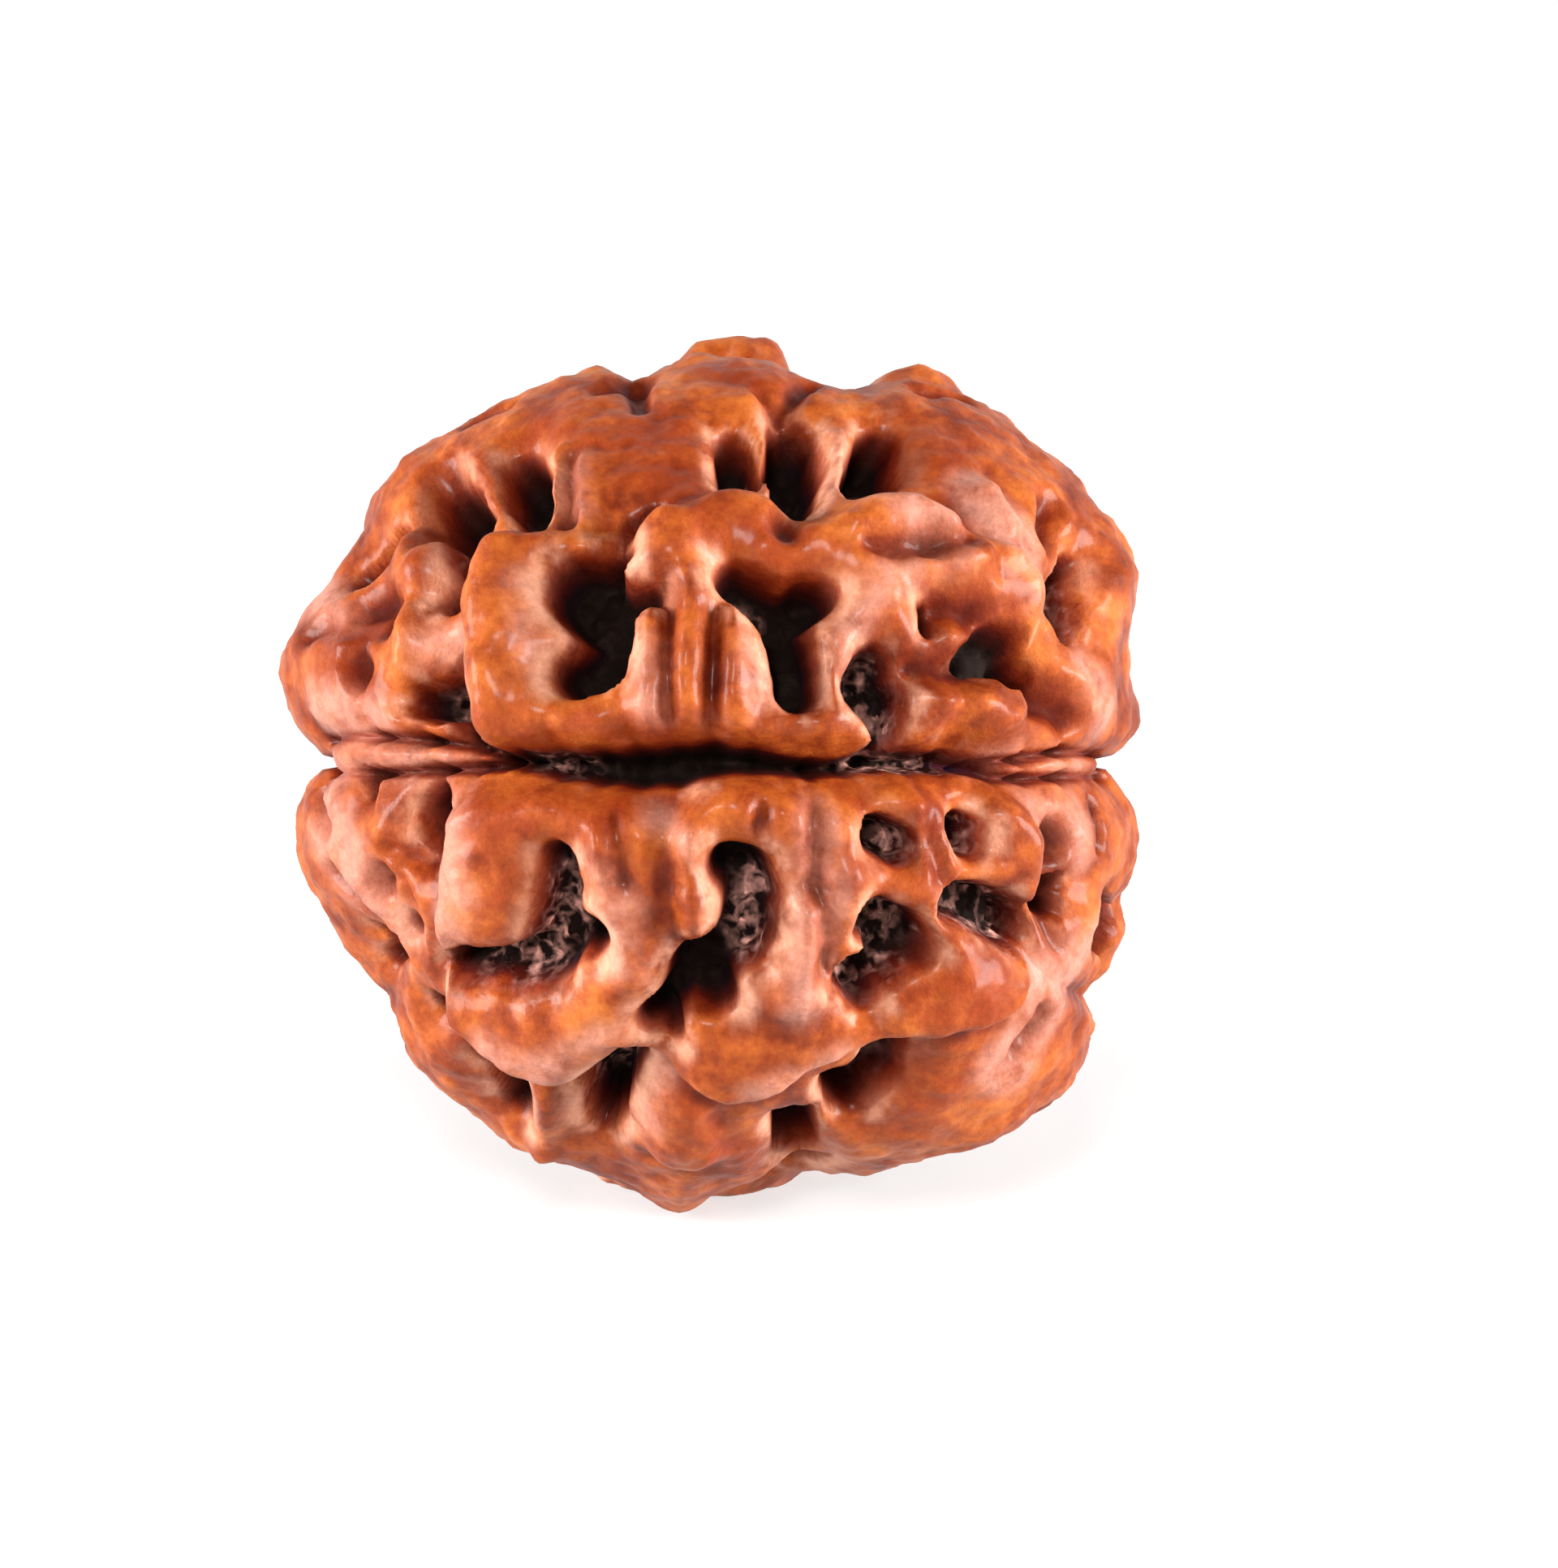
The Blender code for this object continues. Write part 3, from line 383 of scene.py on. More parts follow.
def wander(rng, start, steps, stride, radius, heading):
    """A short chain that wanders over the sphere from a start, mostly along its heading."""
    chain = [(start * RIM_RADIUS, radius * rng.uniform(0.7, 1.0))]
    here = start
    for _ in range(steps):
        heading = heading + rng.normal(0, 0.45, 3)
        heading = heading - here * float(heading @ here)
        heading = heading / np.linalg.norm(heading)
        here = here + heading * stride * rng.uniform(0.7, 1.2) / RIM_RADIUS
        here = here / np.linalg.norm(here)
        chain.append((here * RIM_RADIUS, radius * rng.uniform(0.6, 1.1)))
    return chain


# Features of the photographed face
pits = [
    [(place, r * PIT_SPREAD) for place, r in chain]
    for chain in chains_on(FRONT_PITS, -1)
]
pits += chains_on(FRONT_CLEFT, -1)
hollows = chains_on(FRONT_HOLLOWS, -1)
creases = chains_on(FRONT_CREASES, -1)
plates = chains_on(FRONT_PLATES, -1)
ridges = chains_on(FRONT_RIDGES, -1)

# The cleft goes on round the back, wavering a little
rng = np.random.default_rng(SEED)
back_cleft = [
    (x, CLEFT_PLANE + rng.uniform(-0.15, 0.15), 0.34 * (1 - (abs(x) / 11.5) ** 2) + 0.06)
    for x in np.linspace(-10.3, 10.3, 15)
]
pits += chains_on([back_cleft], 1)

# Both clefts run out as a fine seam into the poles
for side in (-1.0, 1.0):
    pole = np.array([side * RIM_RADIUS, 0.0, CLEFT_PLANE])
    for face in (-1, 1):
        seam_end = on_face(side * 10.2, CLEFT_PLANE, face) * RIM_RADIUS
        pits.append([(seam_end, 0.12), (pole, 0.16)])

# Back of the bead: fingers of plate, scattered pits and creases like those of the seen face
for x in (-7.0, -4.4, -1.9, 0.8, 3.3, 5.6, 7.6):
    for up in (1, -1):
        tip = rng.uniform(4.4, 6.2) * (1 - (x / 13) ** 2)
        lean = x + rng.uniform(-0.5, 0.5)
        finger = [(x, CLEFT_PLANE + up * 1.6, 1.1), (lean, up * tip, rng.uniform(1.2, 1.6))]
        plates += chains_on([finger], 1)
down = np.array([0.0, math.sin(ROLL), -math.cos(ROLL)])
taken = [(spot / RIM_RADIUS, 2.0) for chain in pits[:-1] for spot, _ in chain]
for _ in range(9000):
    spot = rng.normal(0, 1, 3)
    spot = spot / np.linalg.norm(spot)
    near_cleft = abs(spot[2] * RIM_RADIUS - CLEFT_PLANE) < 1.7
    near_pole = abs(spot[0]) > 0.955
    near_rest = np.linalg.norm(spot - down) * RIM_RADIUS < 2.9
    if spot[1] < 0.0 or near_cleft or near_pole or near_rest:
        continue
    if any(np.linalg.norm(spot - other) * RIM_RADIUS < room for other, room in taken):
        continue
    upright = np.array([0.0, 0.0, 1.0 if rng.random() < 0.5 else -1.0])
    chain = wander(rng, spot, int(rng.integers(1, 5)), 0.8, rng.uniform(0.4, 0.72), upright)
    if len(chain) > 2 and rng.random() < 0.6:
        fork = wander(rng, chain[1][0] / RIM_RADIUS, 1, 0.9, 0.45, np.array([1.0, 0.0, 0.3]))
    else:
        fork = []
    for branch in (chain, fork):
        branch = [
            (place, size) for place, size in branch
            if abs(place[2] - CLEFT_PLANE) > 1.35
            and np.linalg.norm(place - down * RIM_RADIUS) > 2.7
        ]
        if len(branch) > 1:
            pits.append(branch)
            taken += [(place / RIM_RADIUS, 2.2) for place, _ in branch]
for _ in range(130):
    spot = rng.normal(0, 1, 3)
    spot = spot / np.linalg.norm(spot)
    if spot[1] < 0.05 or abs(spot[0]) > 0.965 or np.linalg.norm(spot - down) * RIM_RADIUS < 2.6:
        continue
    target = creases if rng.random() < 0.5 else ridges
    width = 0.14 if target is creases else 0.34
    target.append(wander(rng, spot, 2, 0.9, width, np.array([0.0, 0.0, 1.0])))

# A dimple round each end of the stringing hole
for side in (-1.0, 1.0):
    pole = np.array([side * RIM_RADIUS, 0.0, CLEFT_PLANE])
    hollows.append([(pole, 0.8), (pole + np.array([0.0, 0.1, 0.0]), 0.8)])


def relief(directions):
    """Surface radius in each direction, in millimetres."""
    points = directions * RIM_RADIUS
    radius = envelope(directions)
    facing = smooth_step((np.abs(directions[:, 1]) - 0.12) / 0.3)
    rise = PLATE_RISE * smooth_step(0.5 - distance_to(points, plates, 0.4) / 0.8)
    radius = radius + rise * facing
    radius = radius + RIDGE_RISE * smooth_step(0.5 - distance_to(points, ridges, 0.15) / 0.8)
    to_pit = distance_to(points, pits, 0.1)
    outside = RIM_DROP * np.exp(-np.maximum(to_pit, 0) / RIM_ROUND)
    inside = (PIT_DEPTH - RIM_DROP) * (1 - (1 - np.clip(-to_pit / WALL, 0, 1)) ** 2)
    radius = radius - outside - inside
    radius = radius - HOLLOW_DEPTH * smooth_step(0.5 - distance_to(points, hollows, 0.12) / 0.9)
    radius = radius - CREASE_DEPTH * smooth_step(0.5 - distance_to(points, creases, 0.1) / 0.5)
    behind = smooth_step(0.5 + (directions - down) @ np.array([0.0, 3.0, 0.0]))
    rest = np.linalg.norm(directions - down, axis=1) * RIM_RADIUS * (1 - 0.35 * behind)
    radius = radius + (REST_RADIUS - radius) * smooth_step((3.0 - rest) / 1.3)
    swell = np.array([noise.noise(Vector(point) * 0.36) for point in points])
    grain = np.array([noise.fractal(Vector(point) * 0.75, 1.0, 2.0, 3) for point in points])
    unseen = smooth_step(0.5 + directions[:, 1])
    return radius + (0.1 * grain + 0.6 * swell * unseen) * smooth_step((rest - 1.5) / 1.5)


def fine_relief(directions, to_pit):
    """Dried pulp lumped on the floors of pits and cleft, and a faint grain over the ridges."""
    points = directions * RIM_RADIUS
    sunk = smooth_step(-to_pit / 0.28)
    lumps = np.zeros(len(points))
    for index in np.flatnonzero(sunk > 0.01):
        place = Vector(points[index])
        near = noise.voronoi(place * 2.3)[0]
        lumps[index] = near[1] - near[0] - 0.35 + 0.7 * noise.noise(place * 1.7)
    grain = np.array([
        noise.noise(Vector(point) * 1.4) + 0.6 * noise.noise(Vector(point) * 3.1)
        for point in points
    ])
    return LUMP_HEIGHT * lumps * sunk + GRAIN_HEIGHT * grain * (1 - sunk)


# The skin: a cube divided evenly and blown up to a sphere
form = bmesh.new()
for name in ("pit", "hollow", "residue", "pale", "deep_tone", "cavity", "side_highlight"):
    form.verts.layers.float.new(name)
layers = form.verts.layers.float
bmesh.ops.create_cube(form, size=2.0)
bmesh.ops.subdivide_edges(form, edges=form.edges[:], cuts=CELLS - 1, use_grid_fill=True)
form.verts.index_update()
cube = np.array([vertex.co for vertex in form.verts])
directions = np.tan(cube * math.pi / 4)
directions = directions / np.linalg.norm(directions, axis=1)[:, None]

# At each pole a square patch gives way to the round mouth of the stringing hole
from_pole = np.maximum(np.abs(cube[:, 1]), np.abs(cube[:, 2]))
polar = np.abs(cube[:, 0]) > 0.999
inside_mouth = np.flatnonzero(polar & (from_pole < MOUTH - 0.25 / CELLS))
mouth = np.flatnonzero(polar & (np.abs(from_pole - MOUTH) < 0.25 / CELLS))
around = np.arctan2(cube[mouth, 2], cube[mouth, 1])
ring = np.stack([
    np.sign(cube[mouth, 0]) * RIM_RADIUS,
    HOLE_RADIUS * np.cos(around),
    CLEFT_PLANE + HOLE_RADIUS * np.sin(around),
], axis=1)
ring_directions = ring / np.linalg.norm(ring, axis=1)[:, None]

# The vertices gather along the edges of the pits, where the surface turns most
GATHER_TURNS = 24
GATHER_PULL = 3.5
GATHER_REACH = 0.28
ends = np.array([[edge.verts[0].index, edge.verts[1].index] for edge in form.edges])
for turn in range(GATHER_TURNS):
    if turn % 3 == 0:
        edge_gap = distance_to(directions * RIM_RADIUS, pits, 0.1) + 0.05
        pull = 1 + GATHER_PULL * np.exp(-((edge_gap / GATHER_REACH) ** 2))
    weight = np.sqrt(pull[ends[:, 0]] * pull[ends[:, 1]])
    moved = np.zeros_like(directions)
    share = np.zeros(len(directions))
    for here, there in ((0, 1), (1, 0)):
        share += np.bincount(ends[:, here], weight, len(directions))
        for axis in range(3):
            pulled = weight * directions[ends[:, there], axis]
            moved[:, axis] += np.bincount(ends[:, here], pulled, len(directions))
    directions = 0.35 * directions + 0.65 * moved / share[:, None]
    directions[mouth] = ring_directions
    directions = directions / np.linalg.norm(directions, axis=1)[:, None]

points = directions * RIM_RADIUS
to_pit = distance_to(points, pits, 0.08)
to_crease = distance_to(points, creases, 0.08) + 0.1
to_hollow = np.minimum(distance_to(points, hollows, 0.12), to_crease)
radius = relief(directions) + fine_relief(directions, to_pit)
# Masks for the pale patches (partly dried skin, partly painted glare), the darker-toned spots and
# the pulp
pale = smooth_step(0.5 - distance_to(points, chains_on(PALE_SKIN_AND_GLARE_SPOTS, -1), 0.2) / 0.8)
deep_tone = smooth_step(0.5 - distance_to(points, chains_on(DEEP_TONE_SPOTS, -1), 0.3) / 1.0)
residue = smooth_step(0.5 - distance_to(points, chains_on(RESIDUE_SPOTS, -1), 0.15) / 0.7)

# How far each point lies below its surroundings; it sets the painted shade in the dips
EVENING_TURNS = 45
evened = radius
share = np.bincount(ends.ravel(), minlength=len(radius))
for _ in range(EVENING_TURNS):
    around_each = np.bincount(ends[:, 0], evened[ends[:, 1]], len(radius))
    around_each += np.bincount(ends[:, 1], evened[ends[:, 0]], len(radius))
    evened = 0.3 * evened + 0.7 * around_each / share
cavity = evened - radius
shaped = directions * radius[:, None]
shaped[mouth, 1:] = ring[:, 1:]

# Rolled about its axis so that the seen face looks up a little, standing on its worn flat
turned = shaped @ np.array(Matrix.Rotation(-ROLL, 3, "X")).T
middle = (turned.max(axis=0) + turned.min(axis=0)) / 2
turned += np.array([-middle[0], -middle[1], REST_HEIGHT])
turned[:, 2] = np.maximum(turned[:, 2], 0.0)
measures = {
    "pit": to_pit, "hollow": to_hollow, "cavity": cavity,
    "residue": residue, "pale": pale, "deep_tone": deep_tone,
}
for vertex, place in zip(form.verts, turned * MM):
    vertex.co = place
for name, values in measures.items():
    for vertex, value in zip(form.verts, values):
        vertex[layers[name]] = value

# The two mouths are joined by the bore
form.verts.ensure_lookup_table()
rims = {form.verts[index] for index in mouth}
bmesh.ops.delete(form, geom=[form.verts[index] for index in inside_mouth], context="VERTS")
loops = [edge for edge in form.edges if edge.is_boundary and rims.issuperset(edge.verts)]
bmesh.ops.bridge_loops(form, edges=loops)
bmesh.ops.recalc_face_normals(form, faces=form.faces[:])
form.normal_update()

# Painted highlight: the lips beside the pits are painted pale where the surface leans to the left
# or the right, towards the side lamps
LIP_PLACE = 0.2
LIP_WIDTH = 0.24
bead_centre = Vector((-middle[0], -middle[1], REST_HEIGHT)) * MM
for vertex in form.verts:
    upright = (vertex.co - bead_centre).normalized()
    sideways = abs(vertex.normal.x - vertex.normal.dot(upright) * upright.x)
    near_pit = math.exp(-((vertex[layers["pit"]] - LIP_PLACE) / LIP_WIDTH) ** 2)
    vertex[layers["side_highlight"]] = near_pit * min(max((sideways - 0.2) / 0.35, 0.0), 1.0)
skin = bpy.data.meshes.new("bead_skin")
form.to_mesh(skin)
form.free()
skin.shade_smooth()
bead = bpy.data.objects.new("bead_skin", skin)
bpy.context.collection.objects.link(bead)


def node_in(tree, kind, inputs=(), **settings):
    """A node with its settings and its plain input values."""
    made = tree.nodes.new(kind)
    for name, value in settings.items():
        setattr(made, name, value)
    for name, value in inputs:
        if isinstance(value, bpy.types.NodeSocket):
            tree.links.new(value, made.inputs[name])
        else:
            made.inputs[name].default_value = value
    return made


def ramp_over(tree, source, low, high, stops):
    """A colour for each value from low to high; stops are (value, colour) in rising order."""
    spread = node_in(tree, "ShaderNodeMapRange", [
        ("Value", source), ("From Min", low), ("From Max", high),
    ])
    ramp = node_in(tree, "ShaderNodeValToRGB", [("Fac", spread.outputs["Result"])])
    elements = ramp.color_ramp.elements
    while len(elements) < len(stops):
        elements.new(0.5)
    for element, (value, colour) in zip(elements, stops):
        element.position = (value - low) / (high - low)
    for element, (value, colour) in zip(elements, stops):
        element.color = (*colour, 1.0)
    return ramp.outputs["Color"]


def blended(tree, kind, amount, first, second):
    """Two colours blended in the way that kind says."""
    mix = node_in(tree, "ShaderNodeMix", data_type="RGBA", blend_type=kind)
    factor, colour_a, colour_b = mix.inputs[0], mix.inputs[6], mix.inputs[7]
    for value, socket in ((amount, factor), (first, colour_a), (second, colour_b)):
        if isinstance(value, bpy.types.NodeSocket):
            tree.links.new(value, socket)
        elif isinstance(value, tuple):
            socket.default_value = (*value, 1.0)
        else:
            socket.default_value = value
    return mix.outputs[2]


def noise_over(tree, where, scale, detail=3.0, roughness=0.55, seed=0.0):
    """Noise of a size given in features per metre."""
    cloud = node_in(tree, "ShaderNodeTexNoise", [
        ("Vector", where), ("W", seed), ("Scale", scale),
        ("Detail", detail), ("Roughness", roughness),
    ], noise_dimensions="4D")
    return cloud.outputs["Fac"]


def reckoned(tree, operation, first, second):
    """Two values put through one sum: ADD, SUBTRACT, MULTIPLY or MINIMUM."""
    step = node_in(tree, "ShaderNodeMath", [(0, first), (1, second)], operation=operation)
    return step.outputs[0]


def sum_of(tree, parts):
    """A weighted sum of values: parts are (value, weight)."""
    total = None
    for value, weight in parts:
        scaled = reckoned(tree, "MULTIPLY", value, weight)
        total = scaled if total is None else reckoned(tree, "ADD", total, scaled)
    return total


def measured(tree, name):
    """One of the measures that the skin carries at each point."""
    return node_in(tree, "ShaderNodeAttribute", attribute_name=name).outputs["Fac"]


# Oiled stone: burnt-orange ridges, red-brown pit walls, near-black pits with pale lumpy pulp
stone = bpy.data.materials.new("oiled_stone")
stone.use_nodes = True
tree = stone.node_tree
surface = tree.nodes["Principled BSDF"]
pit, hollow, sunken = (measured(tree, name) for name in ("pit", "hollow", "cavity"))
side_highlight, pale_skin_and_glare, deep_tone_mask, pulp = (measured(tree, name) for name in ("side_highlight", "pale", "deep_tone", "residue"))
where = node_in(tree, "ShaderNodeTexCoord").outputs["Object"]

# Ridges: rust red to amber in soft patches, darker red-brown in the listed spots, and painted shade
# in the dips with a faint painted lightening on the crests
patches = sum_of(tree, [
    (noise_over(tree, where, 420.0, 3.0, 0.55), 0.6),
    (noise_over(tree, where, 1500.0, 3.0, 0.6, 1.0), 0.4),
])
ridge_colour = ramp_over(tree, patches, 0.36, 0.62, [
    (0.36, (0.13, 0.015, 0.0026)), (0.46, (0.24, 0.036, 0.0053)),
    (0.54, (0.36, 0.073, 0.0108)), (0.62, (0.47, 0.122, 0.022)),
])
DEEP_TONE_COLOUR = (0.24, 0.03, 0.005)
deep_tone_patches = ramp_over(tree, noise_over(tree, where, 1100.0, 3.0, 0.55, 6.0), 0.34, 0.6, [
    (0.34, (0.3, 0.3, 0.3)), (0.6, (1.0, 1.0, 1.0)),
])
deep_tone_amount = reckoned(tree, "MULTIPLY", deep_tone_mask, deep_tone_patches)
deep_tone_amount = reckoned(tree, "MULTIPLY", deep_tone_amount, 0.8)
ridge_colour = blended(tree, "MIX", deep_tone_amount, ridge_colour, DEEP_TONE_COLOUR)
# Painted shade in the dips, and a faint painted lightening on the crests
cavity_shade = ramp_over(tree, sunken, -0.3, 0.5, [
    (-0.3, (1.06, 1.08, 1.06)), (-0.02, (0.98, 0.95, 0.92)),
    (0.1, (0.62, 0.4, 0.32)), (0.45, (0.32, 0.13, 0.1)),
])
colour = blended(tree, "MULTIPLY", 1.0, ridge_colour, cavity_shade)

# Pale pinkish patches on the flanks and crests, partly dried skin and partly painted glare, and
# painted cream highlights on the lips beside the pits, kept out of the darker-toned spots
# Pale pink: partly dried skin, partly painted glare
PALE_SKIN_AND_GLARE_COLOUR = (0.53, 0.23, 0.165)
# Cream: a painted highlight on the lips
SIDE_HIGHLIGHT_COLOUR = (0.8, 0.4, 0.265)
side_highlight_patches = ramp_over(tree, noise_over(tree, where, 1100.0, 3.0, 0.55, 9.0), 0.36, 0.52, [
    (0.36, (0.12, 0.12, 0.12)), (0.52, (1.0, 1.0, 1.0)),
])
outside_deep_tone = reckoned(tree, "SUBTRACT", 1.0, deep_tone_mask)
side_highlight_patches = reckoned(tree, "MULTIPLY", side_highlight_patches, outside_deep_tone)
side_highlight_amount = reckoned(tree, "MULTIPLY", side_highlight, side_highlight_patches)
side_highlight_amount = reckoned(tree, "MULTIPLY", side_highlight_amount, 0.72)
pale_skin_and_glare_patches = ramp_over(tree, noise_over(tree, where, 1300.0, 4.0, 0.6, 4.0), 0.34, 0.56, [
    (0.34, (0.25, 0.25, 0.25)), (0.56, (1.0, 1.0, 1.0)),
])
pale_skin_and_glare_amount = reckoned(tree, "MULTIPLY", pale_skin_and_glare, pale_skin_and_glare_patches)
pale_skin_and_glare_amount = reckoned(tree, "MULTIPLY", pale_skin_and_glare_amount, 0.8)
colour = blended(tree, "MIX", pale_skin_and_glare_amount, colour, PALE_SKIN_AND_GLARE_COLOUR)
colour = blended(tree, "MIX", side_highlight_amount, colour, SIDE_HIGHLIGHT_COLOUR)

# Pit walls turn red-brown, then purple-black; hollows and creases get only painted shade
pit_edge = sum_of(tree, [(pit, 1.0), (noise_over(tree, where, 900.0, 1.0), 0.14)])
wall_shade = ramp_over(tree, pit_edge, -0.3, 0.8, [
    (-0.3, (0.012, 0.015, 0.3)), (-0.14, (0.03, 0.02, 0.22)), (-0.05, (0.24, 0.06, 0.06)),
    (0.05, (0.6, 0.33, 0.27)), (0.14, (0.94, 0.9, 0.87)), (0.8, (1.0, 1.0, 1.0)),
])
colour = blended(tree, "MULTIPLY", 1.0, colour, wall_shade)
# Painted shade in the hollows and creases
hollow_shade = ramp_over(tree, hollow, -0.3, 0.5, [
    (-0.3, (0.4, 0.2, 0.14)), (0.05, (0.66, 0.46, 0.38)), (0.5, (1.0, 1.0, 1.0)),
])
colour = blended(tree, "MULTIPLY", 1.0, colour, hollow_shade)
speckle = noise_over(tree, where, 5200.0, 3.0, 0.7, 2.0)
speckle_shade = ramp_over(tree, speckle, 0.25, 0.75, [
    (0.25, (0.74, 0.68, 0.64)), (0.55, (1.0, 1.0, 1.0)), (0.75, (1.2, 1.24, 1.28)),
])
colour = blended(tree, "MULTIPLY", 0.8, colour, speckle_shade)

# Dried pulp: a stirred web of cracks and small lumps, worn away in places, only deep in the pits
PULP_COLOUR = (0.78, 0.37, 0.3)
stirring = node_in(tree, "ShaderNodeTexNoise", [
    ("Vector", where), ("Scale", 2600.0), ("Detail", 2.0),
]).outputs["Color"]
stirring = node_in(tree, "ShaderNodeVectorMath", [
    (0, stirring), ("Scale", 0.0005),
], operation="SCALE").outputs[0]
stirred = node_in(tree, "ShaderNodeVectorMath", [
    (0, where), (1, stirring),
], operation="ADD").outputs[0]
cracks = node_in(tree, "ShaderNodeTexVoronoi", [
    ("Vector", stirred), ("Scale", 2000.0),
], feature="DISTANCE_TO_EDGE")
crack_lines = ramp_over(tree, cracks.outputs["Distance"], 0.0, 0.3, [
    (0.0, (1.0, 1.0, 1.0)), (0.1, (0.7, 0.7, 0.7)), (0.24, (0.0, 0.0, 0.0)),
])
lumps = node_in(tree, "ShaderNodeTexVoronoi", [
    ("Vector", stirred), ("Scale", 2500.0),
], feature="SMOOTH_F1")
lump_tops = ramp_over(tree, lumps.outputs["Distance"], 0.1, 0.5, [
    (0.1, (1.0, 1.0, 1.0)), (0.38, (0.0, 0.0, 0.0)),
])
sunk = reckoned(tree, "MINIMUM", pit, hollow)
deep = node_in(tree, "ShaderNodeMapRange", [
    ("Value", sunk), ("From Min", 0.05), ("From Max", -0.2),
]).outputs["Result"]
crusted = reckoned(tree, "MULTIPLY", deep, pulp)
worn = ramp_over(tree, noise_over(tree, where, 1500.0, 2.0, 0.5, 3.0), 0.42, 0.6, [
    (0.42, (0.0, 0.0, 0.0)), (0.6, (1.0, 1.0, 1.0)),
])
crust_web = reckoned(tree, "MULTIPLY", crack_lines, crusted)
crust_lumps = reckoned(tree, "MULTIPLY", lump_tops, crusted)
crust_height = sum_of(tree, [(crust_web, 0.4), (crust_lumps, 0.9)])
crust_tint = reckoned(tree, "MULTIPLY", crust_height, worn)
colour = blended(tree, "MIX", crust_tint, colour, PULP_COLOUR)
tree.links.new(colour, surface.inputs["Base Color"])

# Satin oil: glossier and duller in patches, dull in the pits
height = sum_of(tree, [
    (noise_over(tree, where, 1500.0, 5.0, 0.65, 5.0), 1.0), (speckle, 0.35), (crust_height, 1.4),
])
bump = node_in(tree, "ShaderNodeBump", [
    ("Strength", 0.6), ("Distance", 0.00012), ("Height", height),
])
tree.links.new(bump.outputs["Normal"], surface.inputs["Normal"])
shine = node_in(tree, "ShaderNodeMapRange", [("Value", deep), ("To Min", 0.15), ("To Max", 0.0)])
tree.links.new(shine.outputs["Result"], surface.inputs["Coat Weight"])
gloss = node_in(tree, "ShaderNodeMapRange", [
    ("Value", noise_over(tree, where, 900.0, 4.0, 0.6, 7.0)),
    ("From Min", 0.3), ("From Max", 0.7), ("To Min", 0.42), ("To Max", 0.68),
])
dull = sum_of(tree, [(gloss.outputs["Result"], 1.0), (deep, 0.25)])
tree.links.new(dull, surface.inputs["Roughness"])
surface.inputs["Specular IOR Level"].default_value = 0.2
surface.inputs["Specular Tint"].default_value = (1.0, 0.66, 0.5, 1.0)
surface.inputs["Coat Roughness"].default_value = 0.2
skin.materials.append(stone)
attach(bead, "root")
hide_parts("rudraksha_bead")

# Floor
# A seamless sheet of white paper, laid flat under the bead and curving up well behind it.
# Sizes in metres. It glows faintly, as paper does that is lit from below.
HALF_SHEET = 0.9
FLAT_END = 0.35
BEND_RADIUS = 0.25
BEND_STEPS = 12
SHEET_TOP = 1.1
sweep = bmesh.new()
profile = [sweep.verts.new((-HALF_SHEET, y, 0.0)) for y in (-HALF_SHEET, FLAT_END)]
for step in range(1, BEND_STEPS + 1):
    angle = math.pi / 2 * step / BEND_STEPS
    y = FLAT_END + BEND_RADIUS * math.sin(angle)
    profile.append(sweep.verts.new((-HALF_SHEET, y, BEND_RADIUS * (1 - math.cos(angle)))))
profile.append(sweep.verts.new((-HALF_SHEET, FLAT_END + BEND_RADIUS, SHEET_TOP)))
strip = [sweep.edges.new(pair) for pair in zip(profile, profile[1:])]
drawn = bmesh.ops.extrude_edge_only(sweep, edges=strip)
far_side = [item for item in drawn["geom"] if isinstance(item, bmesh.types.BMVert)]
bmesh.ops.translate(sweep, verts=far_side, vec=(2 * HALF_SHEET, 0, 0))
bmesh.ops.recalc_face_normals(sweep, faces=sweep.faces[:])
paper_mesh = bpy.data.meshes.new("paper_sweep")
sweep.to_mesh(paper_mesh)
sweep.free()
paper_mesh.shade_smooth()
paper_sweep = bpy.data.objects.new("paper_sweep", paper_mesh)
bpy.context.collection.objects.link(paper_sweep)
paper = bpy.data.materials.new("white_paper")
paper.use_nodes = True
paper_surface = paper.node_tree.nodes["Principled BSDF"]
paper_surface.inputs["Base Color"].default_value = (0.32, 0.32, 0.32, 1.0)
paper_surface.inputs["Roughness"].default_value = 0.9
paper_surface.inputs["Emission Color"].default_value = (1.0, 1.0, 1.0, 1.0)
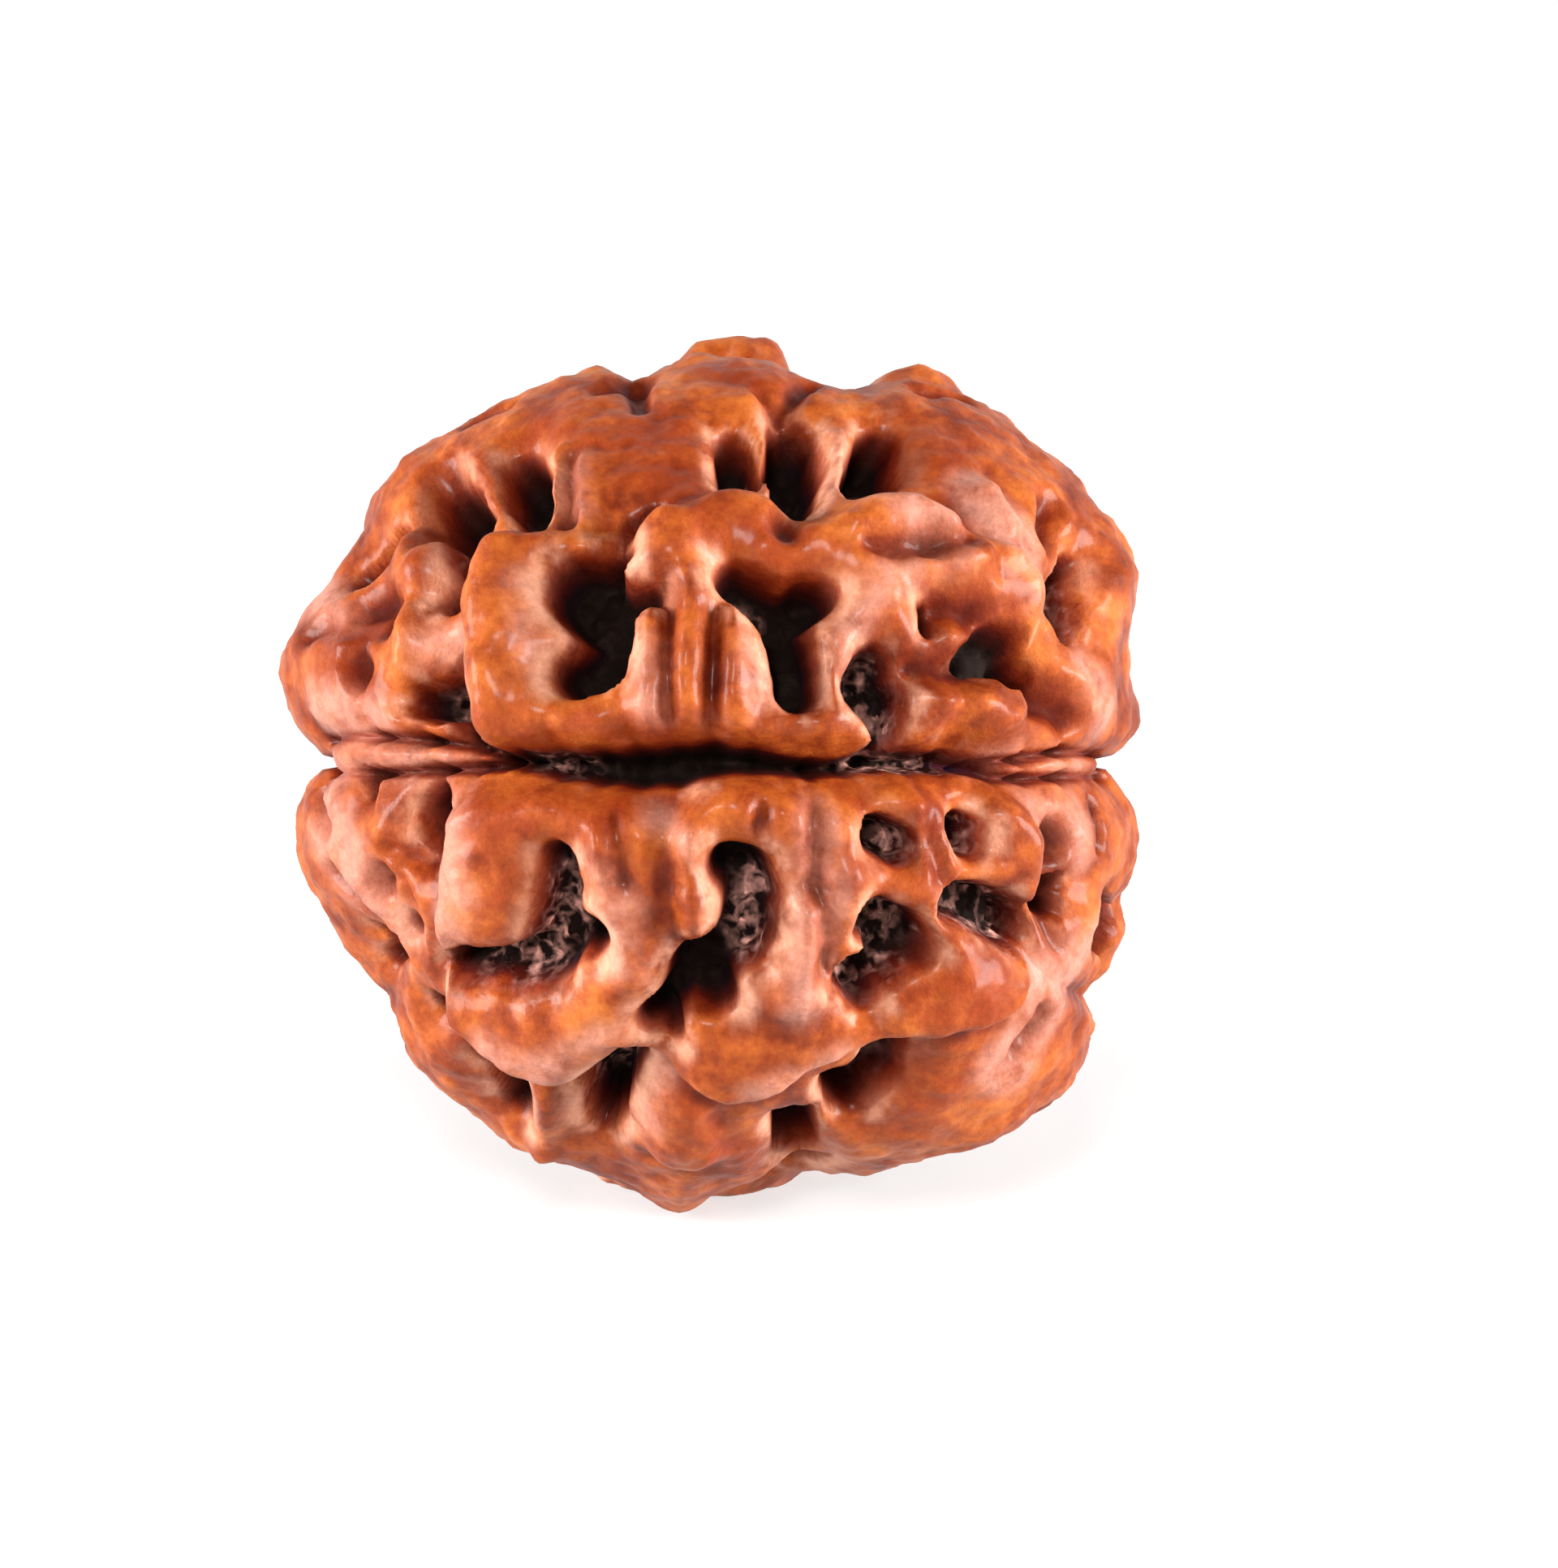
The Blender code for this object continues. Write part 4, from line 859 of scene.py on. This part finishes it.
paper_surface.inputs["Emission Strength"].default_value = 0.66
paper_mesh.materials.append(paper)


# Studio light
# A soft box to the left and one to the right of the bead, low down, and a weaker one above
# the camera, in a faintly lit white room.
def soft_box(name, place, size, watts, aim=(0.0, 0.0, 0.0105)):
    lamp = bpy.data.lights.new(name, "AREA")
    lamp.size = size
    lamp.energy = watts
    box = bpy.data.objects.new(name, lamp)
    box.location = place
    box.rotation_euler = (Vector(aim) - Vector(place)).to_track_quat("-Z", "Y").to_euler()
    bpy.context.collection.objects.link(box)


soft_box("left_box", (-0.36, -0.06, 0.08), 0.2, 3.2)
soft_box("right_box", (0.36, -0.08, 0.09), 0.18, 3.3)
soft_box("front_box", (-0.05, -0.42, 0.32), 0.14, 2.3)
room = bpy.data.worlds.new("white_room")
bpy.context.scene.world = room
room.use_nodes = True
room_light = room.node_tree.nodes["Background"]
room_light.inputs["Color"].default_value = (1.0, 1.0, 1.0, 1.0)
room_light.inputs["Strength"].default_value = 0.04

# Camera
# A long lens looking down at the bead by the angle that it leans back, framed as the photograph.
PICTURE_WIDTH, PICTURE_HEIGHT = 1920, 1932
PIXELS_PER_MM = 48.7
BEAD_PIXEL = (883, 958)
lens = bpy.data.cameras.new("camera")
lens.lens = 420
lens.sensor_width = 36
lens.sensor_fit = "HORIZONTAL"
lens.clip_start = 0.01
lens.clip_end = 10
camera = bpy.data.objects.new("camera", lens)
bpy.context.collection.objects.link(camera)
looking = Vector((0, math.cos(ROLL), -math.sin(ROLL)))
camera_turn = looking.to_track_quat("-Z", "Y")
reach_back = lens.lens / lens.sensor_width * PICTURE_WIDTH / PIXELS_PER_MM * MM
aside = Vector((PICTURE_WIDTH / 2 - BEAD_PIXEL[0], BEAD_PIXEL[1] - PICTURE_HEIGHT / 2, 0))
aside *= MM / PIXELS_PER_MM
camera.rotation_euler = camera_turn.to_euler()
camera.location = bead_centre - looking * reach_back + camera_turn @ aside
bpy.context.scene.camera = camera
bpy.context.scene.view_settings.view_transform = "Standard"
